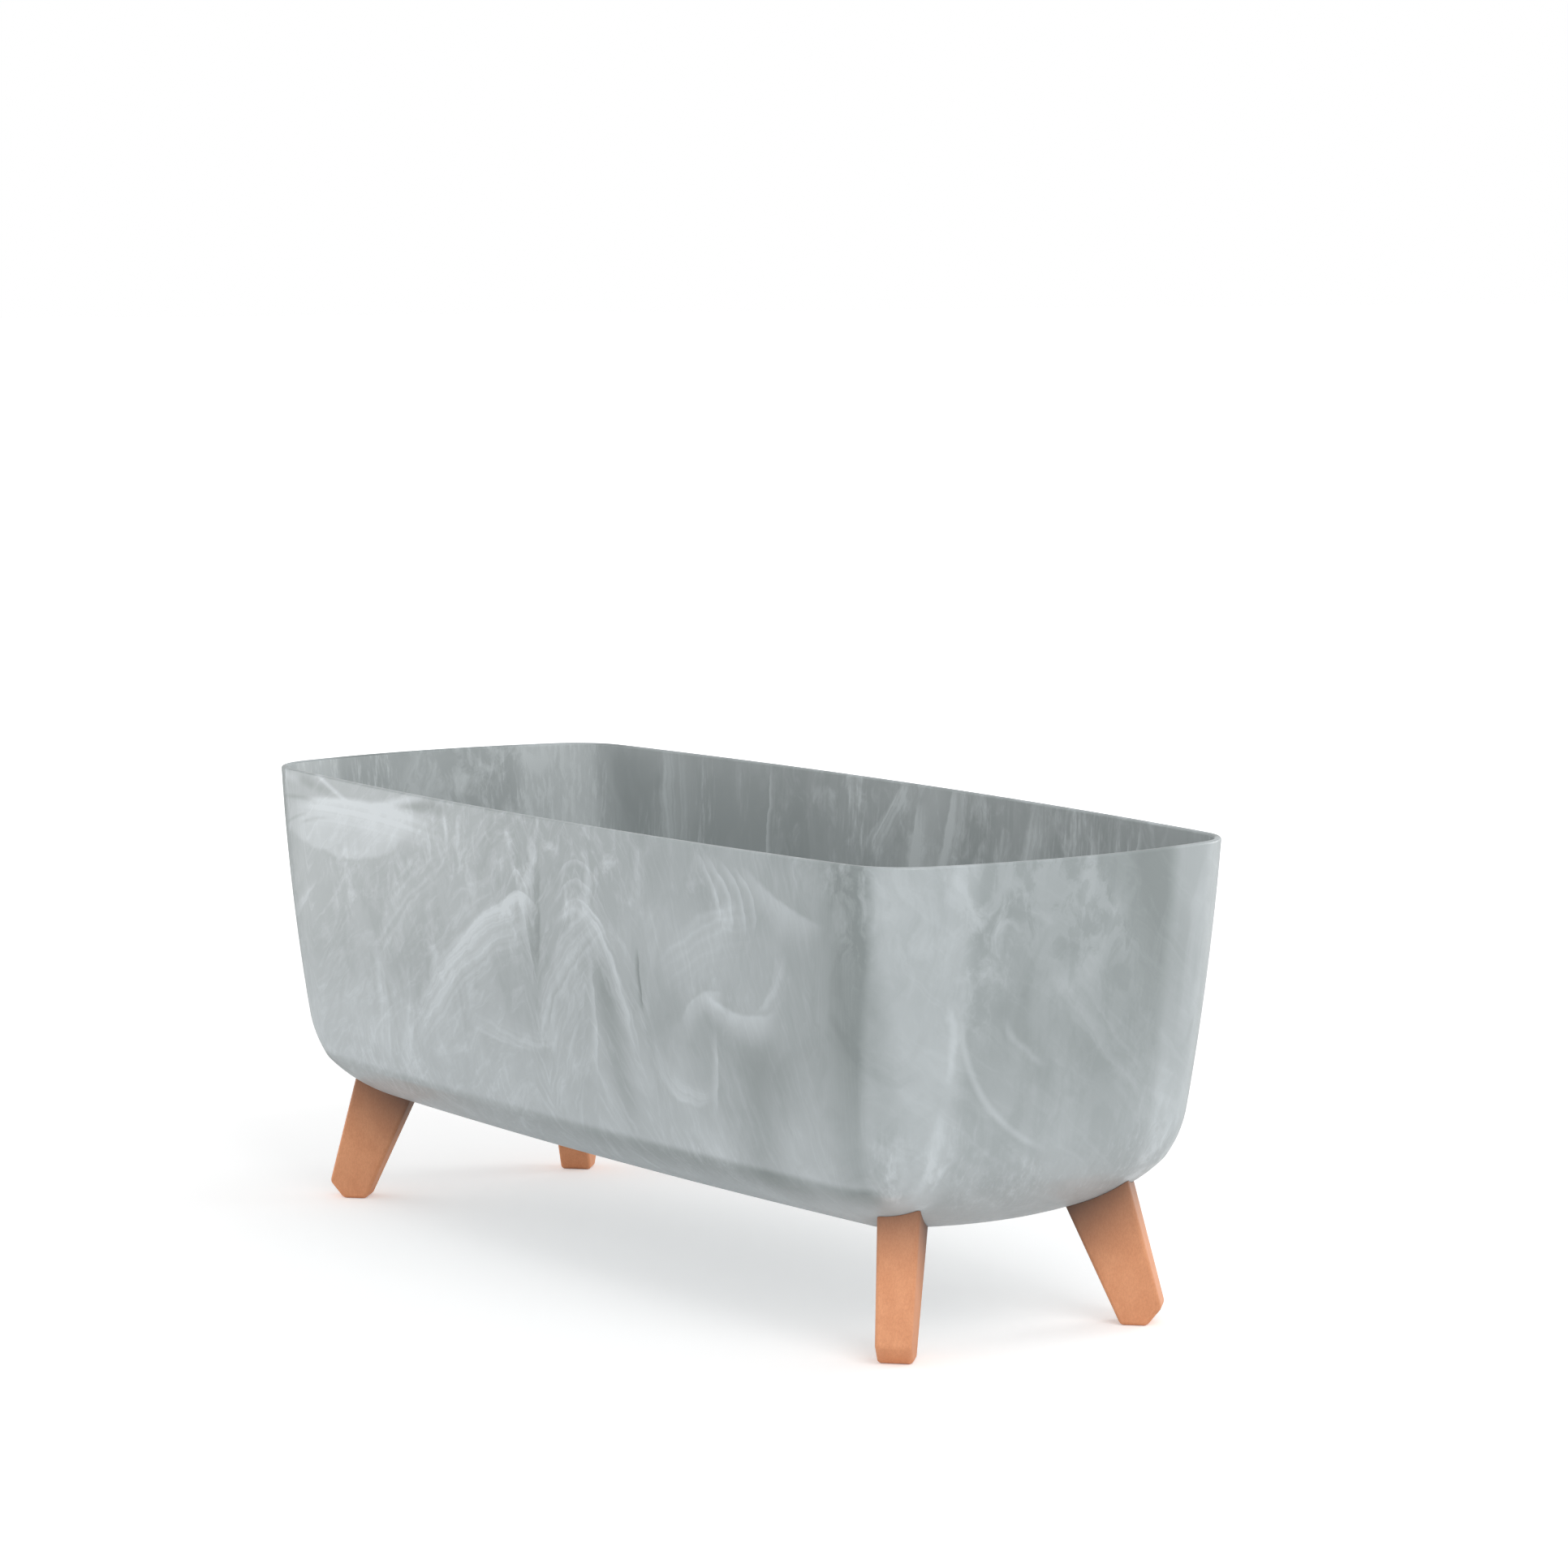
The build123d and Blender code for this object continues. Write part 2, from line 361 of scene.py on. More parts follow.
@dataclass
class TubForm:
    """The tub's moulded form: leaning, bowed walls that round in under the tub.

    A level is a height above the ground. An offset is how far the skin lies inside the outer one.
    """

    length: float = 600 * MM
    width: float = 250 * MM
    top: float = 242 * MM
    floor: float = 56 * MM
    end_draft: float = 23 * MM
    side_draft: float = 21.5 * MM
    side_belly: float = 4 * MM
    side_bow_rim: float = 17.5 * MM
    side_bow_base: float = 7.5 * MM
    end_bow: float = 16.5 * MM
    corner_radius: float = 36 * MM
    corner_radius_at_floor: float = 2 * MM
    end_rounding: float = 53 * MM
    upper_rounding: float = 78 * MM
    crease_rounding: float = 8 * MM
    lower_rounding: float = 59 * MM
    crease_start: float = math.radians(16)
    crease_end: float = math.radians(35)
    wall: float = 3 * MM
    lip_rounding: float = 1.2 * MM
    end_steps: int = 14
    corner_steps: int = 12
    side_steps: int = 26
    underside_steps: int = 14
    crease_steps: int = 5
    upper_steps: int = 6
    wall_steps: int = 12
    lip_steps: int = 5

    def side_arcs(self, offset: float) -> list[Arc]:
        """The long side's rounding, from the wall down to the floor.

        Args:
            offset: how far inside the outer skin.

        Returns:
            The arcs, from the top.
        """
        return [
            Arc(self.upper_rounding - offset, 0.0, self.crease_start),
            Arc(self.crease_rounding - offset, self.crease_start, self.crease_end),
            Arc(self.lower_rounding - offset, self.crease_end, math.pi / 2),
        ]

    def side_rounding_height(self, offset: float) -> float:
        """How high above the floor the long side's rounding starts."""
        return sum(arc.height for arc in self.side_arcs(offset))

    def side_inset(self, height: float, offset: float) -> float:
        """How far the rounding has drawn the long side in.

        Args:
            height: the height above the skin's own floor.
            offset: how far inside the outer skin.

        Returns:
            The inset.
        """
        drop = self.side_rounding_height(offset) - max(height, 0.0)
        inset = 0.0
        for arc in self.side_arcs(offset):
            if drop <= 0:
                break
            sine = min(math.sin(arc.start) + min(drop, arc.height) / arc.radius, 1.0)
            inset += arc.radius * (math.cos(arc.start) - math.sqrt(1 - sine * sine))
            drop -= arc.height
        return inset

    def quarter_outline(self, level: float, offset: float) -> list[Vector]:
        """A quarter of the plan at one level, from the middle of the end to the middle of the side.

        Args:
            level: the height above the ground.
            offset: how far inside the outer skin.

        Returns:
            The points, in the same number at every level.
        """
        fall = (self.top - level) / (self.top - self.floor)
        height = level - self.floor - offset
        end_radius = self.end_rounding - offset
        short = 1 - min(max(height, 0.0) / end_radius, 1.0)
        roundness = math.sqrt(1 - short * short)
        half_length = self.length / 2 - self.end_draft * fall - offset - end_radius * (1 - roundness)
        half_width = self.width / 2 - self.side_draft * fall - offset
        half_width += 4 * self.side_belly * fall * (1 - fall) - self.side_inset(height, offset)
        side_bow = self.side_bow_rim + (self.side_bow_base - self.side_bow_rim) * fall
        corner = Vector((half_length - self.end_bow, half_width - side_bow))
        radius = max((self.corner_radius - offset) * roundness, self.corner_radius_at_floor)
        side_radius = (corner.x ** 2 + side_bow ** 2) / (2 * side_bow)
        end_arc_radius = (corner.y ** 2 + self.end_bow ** 2) / (2 * self.end_bow)
        side_centre = Vector((0, half_width - side_radius))
        end_centre = Vector((half_length - end_arc_radius, 0))
        centre = self.meeting_point(end_centre, end_arc_radius - radius, side_centre, side_radius - radius)
        to_end = (centre - end_centre).normalized()
        to_side = (centre - side_centre).normalized()
        end_angle = math.atan2(to_end.y, to_end.x)
        side_angle = math.atan2(to_side.y, to_side.x)
        arcs = [
            (end_centre, end_arc_radius, 0.0, end_angle, self.end_steps),
            (centre, radius, end_angle, side_angle, self.corner_steps),
            (side_centre, side_radius, side_angle, math.pi / 2, self.side_steps),
        ]
        points = [Vector((half_length, 0, level))]
        for middle, reach, start, end, steps in arcs:
            for step in range(1, steps + 1):
                angle = start + (end - start) * step / steps
                x = middle.x + reach * math.cos(angle)
                y = middle.y + reach * math.sin(angle)
                points.append(Vector((x, y, level)))
        points[-1].x = 0.0
        return points

    @staticmethod
    def meeting_point(first: Vector, first_reach: float, second: Vector, second_reach: float) -> Vector:
        """The outward point at given distances from two centres.

        Args:
            first: one centre.
            first_reach: the distance from it.
            second: the other centre.
            second_reach: the distance from that.

        Returns:
            The point with the larger X and Y.
        """
        between = second - first
        apart = between.length
        along = (apart ** 2 + first_reach ** 2 - second_reach ** 2) / (2 * apart)
        across = math.sqrt(first_reach ** 2 - along ** 2)
        unit = between / apart
        return first + unit * along + Vector((-unit.y, unit.x)) * across

    def levels(self, offset: float) -> list[float]:
        """The levels of one skin, close together where it curves.

        Args:
            offset: how far inside the outer skin.

        Returns:
            The levels, from the skin's own floor up to where its lip starts.
        """
        base = self.floor + offset
        crease_top = base + self.side_rounding_height(offset)
        lip = self.top - self.lip_rounding
        levels = [lip + (crease_top - lip) * step / self.wall_steps for step in range(self.wall_steps)]
        steps = [self.upper_steps, self.crease_steps, self.underside_steps]
        drop = 0.0
        for arc, count in zip(self.side_arcs(offset), steps):
            levels += [crease_top - drop - arc._replace(end=angle).height for angle in arc.angles(count)]
            drop += arc.height
        return sorted(levels + [base])

    def skin_path(self) -> list[Station]:
        """The way over the whole skin: up the outside, over the lip and down the inside.

        Returns:
            The stations, in order.
        """
        quarter = [math.pi / 2 * step / self.lip_steps for step in range(1, self.lip_steps + 1)]
        lip = [(self.top - self.lip_rounding * (1 - math.sin(angle)),
                self.lip_rounding * (1 - math.cos(angle))) for angle in quarter]
        path = [Station(level, 0.0, Skin.OUTER) for level in self.levels(0.0)]
        path += [Station(level, inwards, Skin.OUTER) for level, inwards in lip]
        path += [Station(level, self.wall - outwards, Skin.OUTER) for level, outwards in reversed(lip)]
        path += [Station(level, self.wall, Skin.INNER) for level in reversed(self.levels(self.wall))]
        return path

    def shell(self, path: Sequence[Station]) -> bmesh.types.BMesh:
        """A closed skin along a path of stations.

        Args:
            path: the stations, in order.

        Returns:
            The mesh, with a flat face closing each end of the path.
        """
        rows = [self.quarter_outline(station.level, station.offset) for station in path]
        columns = len(rows[0]) - 1
        spans = len(rows) - 1
        half = 0.5
        mesh = bmesh.new()
        bmesh.ops.create_grid(mesh, x_segments=columns, y_segments=spans, size=half)
        for face in mesh.faces:
            span = int((face.calc_center_median().y + half) * spans)
            face.material_index = path[span + 1].skin.value
            face.smooth = True
        for vertex in mesh.verts:
            column = round((vertex.co.x + half) * columns)
            row = round((vertex.co.y + half) * spans)
            vertex.co = rows[row][column]
        for axis in ("X", "Y"):
            everything = mesh.verts[:] + mesh.edges[:] + mesh.faces[:]
            bmesh.ops.mirror(mesh, geom=everything, axis=axis, merge_dist=SAME_POINT)
        bmesh.ops.remove_doubles(mesh, verts=mesh.verts[:], dist=SAME_POINT)
        open_edges = [edge for edge in mesh.edges if edge.is_boundary]
        caps = bmesh.ops.holes_fill(mesh, edges=open_edges, sides=0)["faces"]
        for cap in caps:
            inner = cap.calc_center_median().z > self.floor + self.wall / 2
            cap.material_index = Skin.INNER.value if inner and len(caps) > 1 else Skin.OUTER.value
        face_outwards(mesh)
        return mesh


@dataclass
class FasteningSpot:
    """Where a leg is screwed to the tub: the pad's middle on the inner floor, and its axis."""

    middle: Vector = field(default_factory=lambda: Vector((237.128, 58.628, 70.264)) * MM)
    axis: Vector = field(default_factory=lambda: Vector((-0.243695, -0.243695, 0.938736)))

    @property
    def matrix(self) -> Matrix:
        """The spot's own frame, with Z along the screw and towards its head."""
        turn = Vector((0, 0, 1)).rotation_difference(self.axis)
        return Matrix.Translation(self.middle) @ turn.to_matrix().to_4x4()


@dataclass
class Tub:
    """The moulded tub, with a raised pad under each screw and thin drain marks in its floor."""

    form: TubForm
    spot: FasteningSpot
    pad_radius: float = 10.5 * MM
    pad_height: float = 5 * MM
    pad_rounding: float = 0.8 * MM
    pad_rounding_steps: int = 3
    drain_radius: float = 6 * MM
    drain_depth: float = 1.8 * MM
    drain_spacing: float = 150 * MM
    drain_count: int = 3
    round_segments: int = 40
    smooth_angle: float = math.radians(32)

    def pads(self) -> bpy.types.Object:
        """The four pads, each rising out of the tub's floor.

        Returns:
            The pads, as one tool.
        """
        mesh = bmesh.new()
        half = self.pad_height / 2
        for corner in Corner:
            bar = add_bar(mesh, self.round_segments, self.pad_radius, self.pad_height, (0, 0, -half))
            rim = [edge for edge in mesh.edges if all(end in bar and end.co.z > -half for end in edge.verts)]
            grown = round_edges(mesh, rim, self.pad_rounding, self.pad_rounding_steps)
            moved = {vertex for vertex in bar if vertex.is_valid} | set(grown)
            bmesh.ops.transform(mesh, matrix=corner.turn @ self.spot.matrix, verts=list(moved))
        for face in mesh.faces:
            face.material_index = Skin.INNER.value
            face.smooth = True
        face_outwards(mesh)
        return finish_mesh("pad_tool", mesh, len(Skin))

    def drain_marks(self) -> bpy.types.Object:
        """The shallow discs that are pressed into the underside, to be drilled out for drainage.

        Returns:
            The discs, as one tool.
        """
        mesh = bmesh.new()
        for number in range(self.drain_count):
            x = (number - (self.drain_count - 1) / 2) * self.drain_spacing
            middle = (x, 0, self.form.floor)
            add_bar(mesh, self.round_segments, self.drain_radius, 2 * self.drain_depth, middle)
        return finish_mesh("drain_tool", mesh, len(Skin))

    def build(self) -> bpy.types.Object:
        """Builds the tub.

        Returns:
            The tub's object.
        """
        tub = finish_mesh("marbled_tub", self.form.shell(self.form.skin_path()), len(Skin))
        carve(tub, self.pads(), "UNION")
        carve(tub, self.drain_marks(), "DIFFERENCE")
        soften(tub, self.smooth_angle)
        return tub


@dataclass
class Leg:
    """One splayed, tapering leg, its top cut to the tub's underside."""

    form: TubForm
    foot_corner: Vector = field(default_factory=lambda: Vector((263.5, 85, 0)) * MM)
    foot_width: float = 23 * MM
    foot_thickness: float = 17.4 * MM
    outer_lean: float = math.radians(15)
    inner_lean: float = math.radians(25)
    side_taper: float = math.radians(1.4)
    heading: float = math.radians(45)
    blank_height: float = 109 * MM
    toe_height: float = 9.4 * MM
    toe_cut: float = 10 * MM
    edge_rounding: float = 2 * MM
    edge_steps: int = 5
    seat_gap: float = 0.2 * MM
    smooth_angle: float = math.radians(35)

    def blank(self) -> bmesh.types.BMesh:
        """The tapering bar with its toe cut and its edges rounded, in the leg's own plane.

        Returns:
            The mesh: X points outwards, Y across the leg and Z up, from the foot's outer corner.
        """
        mesh = bmesh.new()
        bmesh.ops.create_cube(mesh, size=1)
        for vertex in mesh.verts:
            height = self.blank_height if vertex.co.z > 0 else 0.0
            out = -math.tan(self.outer_lean) * height
            if vertex.co.x < 0:
                out = -self.foot_width - math.tan(self.inner_lean) * height
            half = self.foot_thickness / 2 + math.tan(self.side_taper) * height
            vertex.co = Vector((out, math.copysign(half, vertex.co.y), height))
        low = Vector((-self.toe_cut, 0, 0))
        high = Vector((-math.tan(self.outer_lean) * self.toe_height, 0, self.toe_height))
        slope = high - low
        everything = mesh.verts[:] + mesh.edges[:] + mesh.faces[:]
        cut = bmesh.ops.bisect_plane(mesh, geom=everything, plane_co=low,
                                     plane_no=Vector((slope.z, 0, -slope.x)), clear_outer=True)["geom_cut"]
        bmesh.ops.edgenet_fill(mesh, edges=[item for item in cut if isinstance(item, bmesh.types.BMEdge)])
        rounded = [edge for edge in mesh.edges
                   if min(end.co.z for end in edge.verts) < self.blank_height - self.edge_rounding]
        round_edges(mesh, rounded, self.edge_rounding, self.edge_steps)
        return mesh

    def build(self, corner: Corner) -> bpy.types.Object:
        """Builds the leg of one corner.

        Args:
            corner: the corner of the tub.

        Returns:
            The leg's object.
        """
        mesh = self.blank()
        place = Matrix.Translation(self.foot_corner) @ Matrix.Rotation(self.heading, 4, "Z")
        bmesh.ops.transform(mesh, matrix=corner.turn @ place, verts=mesh.verts[:])
        face_outwards(mesh)
        leg = finish_mesh("composite_" + corner.leg_node, mesh)
        seat = [Station(level, -self.seat_gap, Skin.OUTER) for level in self.form.levels(-self.seat_gap)]
        carve(leg, finish_mesh("seat_tool", self.form.shell(seat)), "DIFFERENCE")
        soften(leg, self.smooth_angle)
        return leg


@dataclass
class Fastening:
    """The hexagon-head screws and the rubber washers under them."""

    spot: FasteningSpot
    head_sides: int = 6
    head_flats: float = 10 * MM
    head_height: float = 4 * MM
    head_chamfer: float = 0.6 * MM
    head_chamfer_steps: int = 3
    shank_radius: float = 3 * MM
    shank_length: float = 45 * MM
    point_length: float = 2 * MM
    point_radius: float = 1.5 * MM
    washer_radius: float = 9 * MM
    washer_bore: float = 3.1 * MM
    washer_thickness: float = 2.5 * MM
    washer_rounding: float = 0.7 * MM
    washer_shoulder: float = 0.21 * MM
    round_segments: int = 48
    smooth_angle: float = math.radians(35)

    def turn_profile(self, mesh: bmesh.types.BMesh, points: Sequence[tuple[float, float]],
                     closed: bool) -> None:
        """Spins a profile of straight runs into a round body about the screw's axis.

        Args:
            mesh: the mesh to add it to.
            points: radius and height of each corner of the profile.
            closed: whether the last corner joins the first.
        """
        corners = [mesh.verts.new((radius, 0, height)) for radius, height in points]
        followers = corners[1:] + corners[:1] if closed else corners[1:]
        edges = [mesh.edges.new(pair) for pair in zip(corners, followers)]
        bmesh.ops.spin(mesh, geom=corners + edges, cent=(0, 0, 0), axis=(0, 0, 1), angle=math.tau,
                       steps=self.round_segments, use_merge=True)
        bmesh.ops.remove_doubles(mesh, verts=mesh.verts[:], dist=SAME_POINT)

    def screw(self) -> bmesh.types.BMesh:
        """One screw, its head's underside on top of the washer.

        Returns:
            The mesh, in the spot's frame.
        """
        mesh = bmesh.new()
        middle = self.washer_thickness + self.head_height / 2
        half_corners = self.head_flats / math.cos(math.pi / self.head_sides) / 2
        add_bar(mesh, self.head_sides, half_corners, self.head_height, (0, 0, middle))
        upper = [edge for edge in mesh.edges if all(end.co.z > middle for end in edge.verts)]
        round_edges(mesh, upper, self.head_chamfer, self.head_chamfer_steps)
        tip = self.washer_thickness - self.shank_length
        profile = [(0.0, middle), (self.shank_radius, middle), (self.shank_radius, tip + self.point_length),
                   (self.point_radius, tip), (0.0, tip)]
        self.turn_profile(mesh, profile, closed=False)
        return mesh

    def washer(self) -> bmesh.types.BMesh:
        """One washer, lying on its pad.

        Returns:
            The mesh, in the spot's frame.
        """
        mesh = bmesh.new()
        top = self.washer_thickness
        out = self.washer_radius
        soft = self.washer_rounding
        shoulder = self.washer_shoulder
        profile = [(self.washer_bore, 0), (out - soft / 2, 0), (out, soft / 2), (out, top - soft),
                   (out - shoulder, top - shoulder), (out - soft, top), (self.washer_bore, top)]
        self.turn_profile(mesh, profile, closed=True)
        return mesh

    def build(self, name: str, make: Callable[[], bmesh.types.BMesh]) -> bpy.types.Object:
        """Builds the same small piece at all four corners, as one object.

        Args:
            name: the object's name.
            make: the method that makes one of them.

        Returns:
            The object.
        """
        whole = bmesh.new()
        for corner in Corner:
            one = make()
            bmesh.ops.transform(one, matrix=corner.turn @ self.spot.matrix, verts=one.verts[:])
            face_outwards(one)
            data = bpy.data.meshes.new("one")
            one.to_mesh(data)
            one.free()
            whole.from_mesh(data)
            bpy.data.meshes.remove(data)
        piece = finish_mesh(name, whole)
        soften(piece, self.smooth_angle)
        return piece


def start_material(material: bpy.types.Material) -> tuple[Graph, bpy.types.Node]:
    """Gives a new material nodes, and returns its graph and its Principled shader."""
    material.use_nodes = True
    return Graph(material.node_tree), material.node_tree.nodes["Principled BSDF"]


def node_group(name: str, inputs: dict[str, str],
               outputs: dict[str, str]) -> tuple[Graph, bpy.types.NodeOutputs, Callable]:
    """Starts a shader node group.

    Args:
        name: its name.
        inputs: the socket type of each input, by name.
        outputs: the socket type of each output, by name.

    Returns:
        Its graph, its input sockets, and a function that links its outputs.
    """
    tree = bpy.data.node_groups.new(name, "ShaderNodeTree")
    for side, sockets in (("INPUT", inputs), ("OUTPUT", outputs)):
        for label, kind in sockets.items():
            tree.interface.new_socket(label, in_out=side, socket_type=kind)
    start = tree.nodes.new("NodeGroupInput")
    end = tree.nodes.new("NodeGroupOutput")
    graph = Graph(tree)

    def close(**results: Value) -> bpy.types.NodeTree:
        """Links the group's outputs and gives the finished tree."""
        for label, value in results.items():
            graph.feed(end.inputs[label], value)
        return tree

    return graph, start.outputs, close


class Patterns:
    """The node groups that several finishes share."""

    STIRS = {
        "Swirl": Noise(8, 1.5, 0.6, shift=(8, 1, 2)),
        "Ripple": Noise(34, 2.0, 0.6, shift=(34, 1, 2)),
        "Fray": Noise(120, 2.0, 0.6, shift=(120, 1, 2)),
    }
    NOISE_MIDDLE = (0.5, 0.5, 0.5)
    SMOKE_UPRIGHT = 0.6
    SMOKE_STIRS = ((1.0, 2.0, 0.3), (1.6, 3.0, 0.24))
    SMOKE = (1.5, 7.0, 0.6)
    SMOKE_SHOWS = Step(0.38, 0.64)
    THREAD = Noise(340, 4, 0.72, shift=(2, 9, 4), upright=0.12)
    THREAD_SHOWS = Step(0.46, 0.74)
    CLUSTER = Noise(16, 2, 0.6, shift=(8, 3, 1), upright=0.35)
    CLUSTER_SHOWS = Step(0.44, 0.62)
    SPECKS = ((1.0, 3.0, 0.65, 0.6), (3.1, 2.0, 0.5, 0.4))
    SPECKS_SHOW = Step(0.36, 0.64)

    def __init__(self) -> None:
        """Builds each group once."""
        self.flow = self.build_flow()
        self.smoke = self.build_smoke()
        self.speckle = self.build_speckle()

    def build_flow(self) -> bpy.types.NodeTree:
        """Bends coordinates in slow swirls and fine ripples, as two stirred colours run.

        Returns:
            The node group.
        """
        inputs = {"Vector": VECTOR} | dict.fromkeys(self.STIRS, FLOAT)
        graph, given, close = node_group("stirred_flow", inputs, {"Vector": VECTOR})
        bent = given["Vector"]
        for name, noise in self.STIRS.items():
            push = graph.vector("SUBTRACT", graph.noise(given["Vector"], noise)["Color"], self.NOISE_MIDDLE)
            push = graph.add("VectorMath", {0: push, "Scale": given[name]}, operation="SCALE").outputs[0]
            bent = graph.vector("ADD", bent, push)
        return close(Vector=bent)

    def build_smoke(self) -> bpy.types.NodeTree:
        """Smoky clouds of two colours that were stirred twice, and the upright streaks between them.

        Returns:
            The node group.
        """
        graph, given, close = node_group("marble_smoke", {"Vector": VECTOR, "Scale": FLOAT},
                                         {"Smoke": FLOAT, "Streak": FLOAT})
        upright = graph.place(given["Vector"], upright=self.SMOKE_UPRIGHT)
        bent = upright
        for finer, detail, push in self.SMOKE_STIRS:
            colour = graph.noise(bent, Noise(graph.times(given["Scale"], finer), detail))["Color"]
            bent = graph.vector("MULTIPLY_ADD", colour, (push, push, push), upright)
        finer, detail, roughness = self.SMOKE
        smoke = graph.noise(bent, Noise(graph.times(given["Scale"], finer), detail, roughness))["Fac"]
        thread = graph.noise(given["Vector"], self.THREAD)["Fac"]
        cluster = graph.noise(given["Vector"], self.CLUSTER)["Fac"]
        streak = graph.times(graph.ramp(thread, self.THREAD_SHOWS), graph.ramp(cluster, self.CLUSTER_SHOWS))
        return close(Smoke=graph.ramp(smoke, self.SMOKE_SHOWS), Streak=streak)

    def build_speckle(self) -> bpy.types.NodeTree:
        """Fine grain: specks of colour and the small bumps that go with them.

        Returns:
            The node group.
        """
        graph, given, close = node_group("fine_speckle", {"Vector": VECTOR, "Scale": FLOAT},
                                         {"Speck": FLOAT, "Height": FLOAT})
        speck = 0.0
        for finer, detail, roughness, share in self.SPECKS:
            noise = Noise(graph.times(given["Scale"], finer), detail, roughness)
            speck = graph.layer(speck, graph.noise(given["Vector"], noise)["Fac"], share)
        return close(Speck=graph.ramp(speck, self.SPECKS_SHOW), Height=speck)


class Wall(Enum):
    """The two kinds of wall that licks of colour lie on, by the axis that they run along."""

    SIDE = "X"
    END = "Y"


class Touch(Enum):
    """How a lick of colour is laid on."""

    COMBED = "crisp along its right edge, and drawn in fine lines"
    PLAIN = "crisp along its right edge"
    SOFT = "fading to both sides"


class WallPlace:
    """The coordinates on the tub's walls. The far half of the tub repeats the near half, turned round."""

    SIDE_STARTS = Step(0.072, 0.096)
    END_STARTS = Step(0.235, 0.262)
    END_LEAN = 0.124
    CORNER_OUT = Step(0.2415, 0.2475)
    CORNER_ASIDE = Step(0.054, 0.066)
    HALVES_SLANT = 2.4
    STIRRING = {"Swirl": 0.014, "Ripple": 0.0075, "Fray": 0.0034}

    def __init__(self, graph: Graph, patterns: Patterns) -> None:
        """Builds the nodes.

        Args:
            graph: the material's graph.
            patterns: the shared node groups.
        """
        self.place = graph.object_place()
        plain = graph.apart(self.place)
        out = graph.math("ABSOLUTE", plain["X"])
        aside = graph.math("ABSOLUTE", plain["Y"])
        self.here = {
            Wall.SIDE: graph.ramp(aside, self.SIDE_STARTS),
            Wall.END: graph.ramp(out, self.END_STARTS),
        }
        self.level = plain["Z"]
        straight_out = graph.layer(out, self.level, -self.END_LEAN)
        self.corner = graph.times(graph.ramp(straight_out, self.CORNER_OUT),
                                  graph.ramp(aside, self.CORNER_ASIDE))
        self.flow = graph.group(patterns.flow, Vector=self.place, **self.STIRRING)[0]
        stirred = graph.apart(self.flow)
        half = graph.layer(stirred["X"], stirred["Y"], -self.HALVES_SLANT)
        turn = graph.layer(-1.0, graph.math("GREATER_THAN", half, 0.0), 2.0)
        self.along = {wall: graph.times(stirred[wall.value], turn) for wall in Wall}
        self.height = stirred["Z"]
        self.still = {wall: graph.times(plain[wall.value], turn) for wall in Wall}


@dataclass(frozen=True)
class Lick:
    """A drawn-out lick of colour on a wall, in millimetres and degrees, as seen from outside.

    It runs along its turn and fades to the left of it. A still one keeps out of the stirring.
    """

    CRISP_EDGE = Step(-0.12, 0.03)
    SOFT_EDGE = Step(-1.0, 0.03)
    FADE = Step(0.0, 1.0, 1.0, 0.0)
    ENDS = Step(0.1, 1.0, 1.0, 0.0)
    LINES = Step(0.36, 0.72, 0.36, 1.0)
    LINE_NOISE = Noise(1.0, 2, 0.6)
    LINE_SPACING = 5.0
    LINE_DRIFT = 0.9

    wall: Wall
    along: float
    height: float
    turn: float
    half_length: float
    width: float
    bend: float
    gain: float
    touch: Touch = Touch.COMBED
    still: bool = False

    def draw(self, graph: Graph, flow: Socket) -> Socket:
        """Draws the lick with the fine lines that run along it.

        Args:
            graph: the material's graph.
            flow: the wall's coordinates: X along the wall, Z up.

        Returns:
            How strong the lick is, 0 to 1.
        """
        cosine, sine = math.cos(math.radians(self.turn)), math.sin(math.radians(self.turn))
        forward = Vector((cosine, 0, sine)) / (self.half_length * MM)
        left = Vector((-sine, 0, cosine)) / (self.width * MM)
        centre = Vector((self.along, 0, self.height)) * MM
        run = graph.math("SUBTRACT", graph.dot(flow, forward), centre.dot(forward))
        aside = graph.math("SUBTRACT", graph.dot(flow, left), centre.dot(left))
        square = graph.times(run, run)
        across = graph.layer(aside, square, -self.bend)
        edge = graph.ramp(across, self.SOFT_EDGE if self.touch is Touch.SOFT else self.CRISP_EDGE)
        body = graph.times(edge, graph.ramp(across, self.FADE), graph.ramp(square, self.ENDS))
        if self.touch is not Touch.COMBED:
            return body
        drift = graph.layer(self.along, run, self.LINE_DRIFT)
        lines = graph.thread(graph.layer(drift, across, self.width / self.LINE_SPACING), self.LINE_NOISE)
        return graph.times(body, graph.ramp(lines, self.LINES))


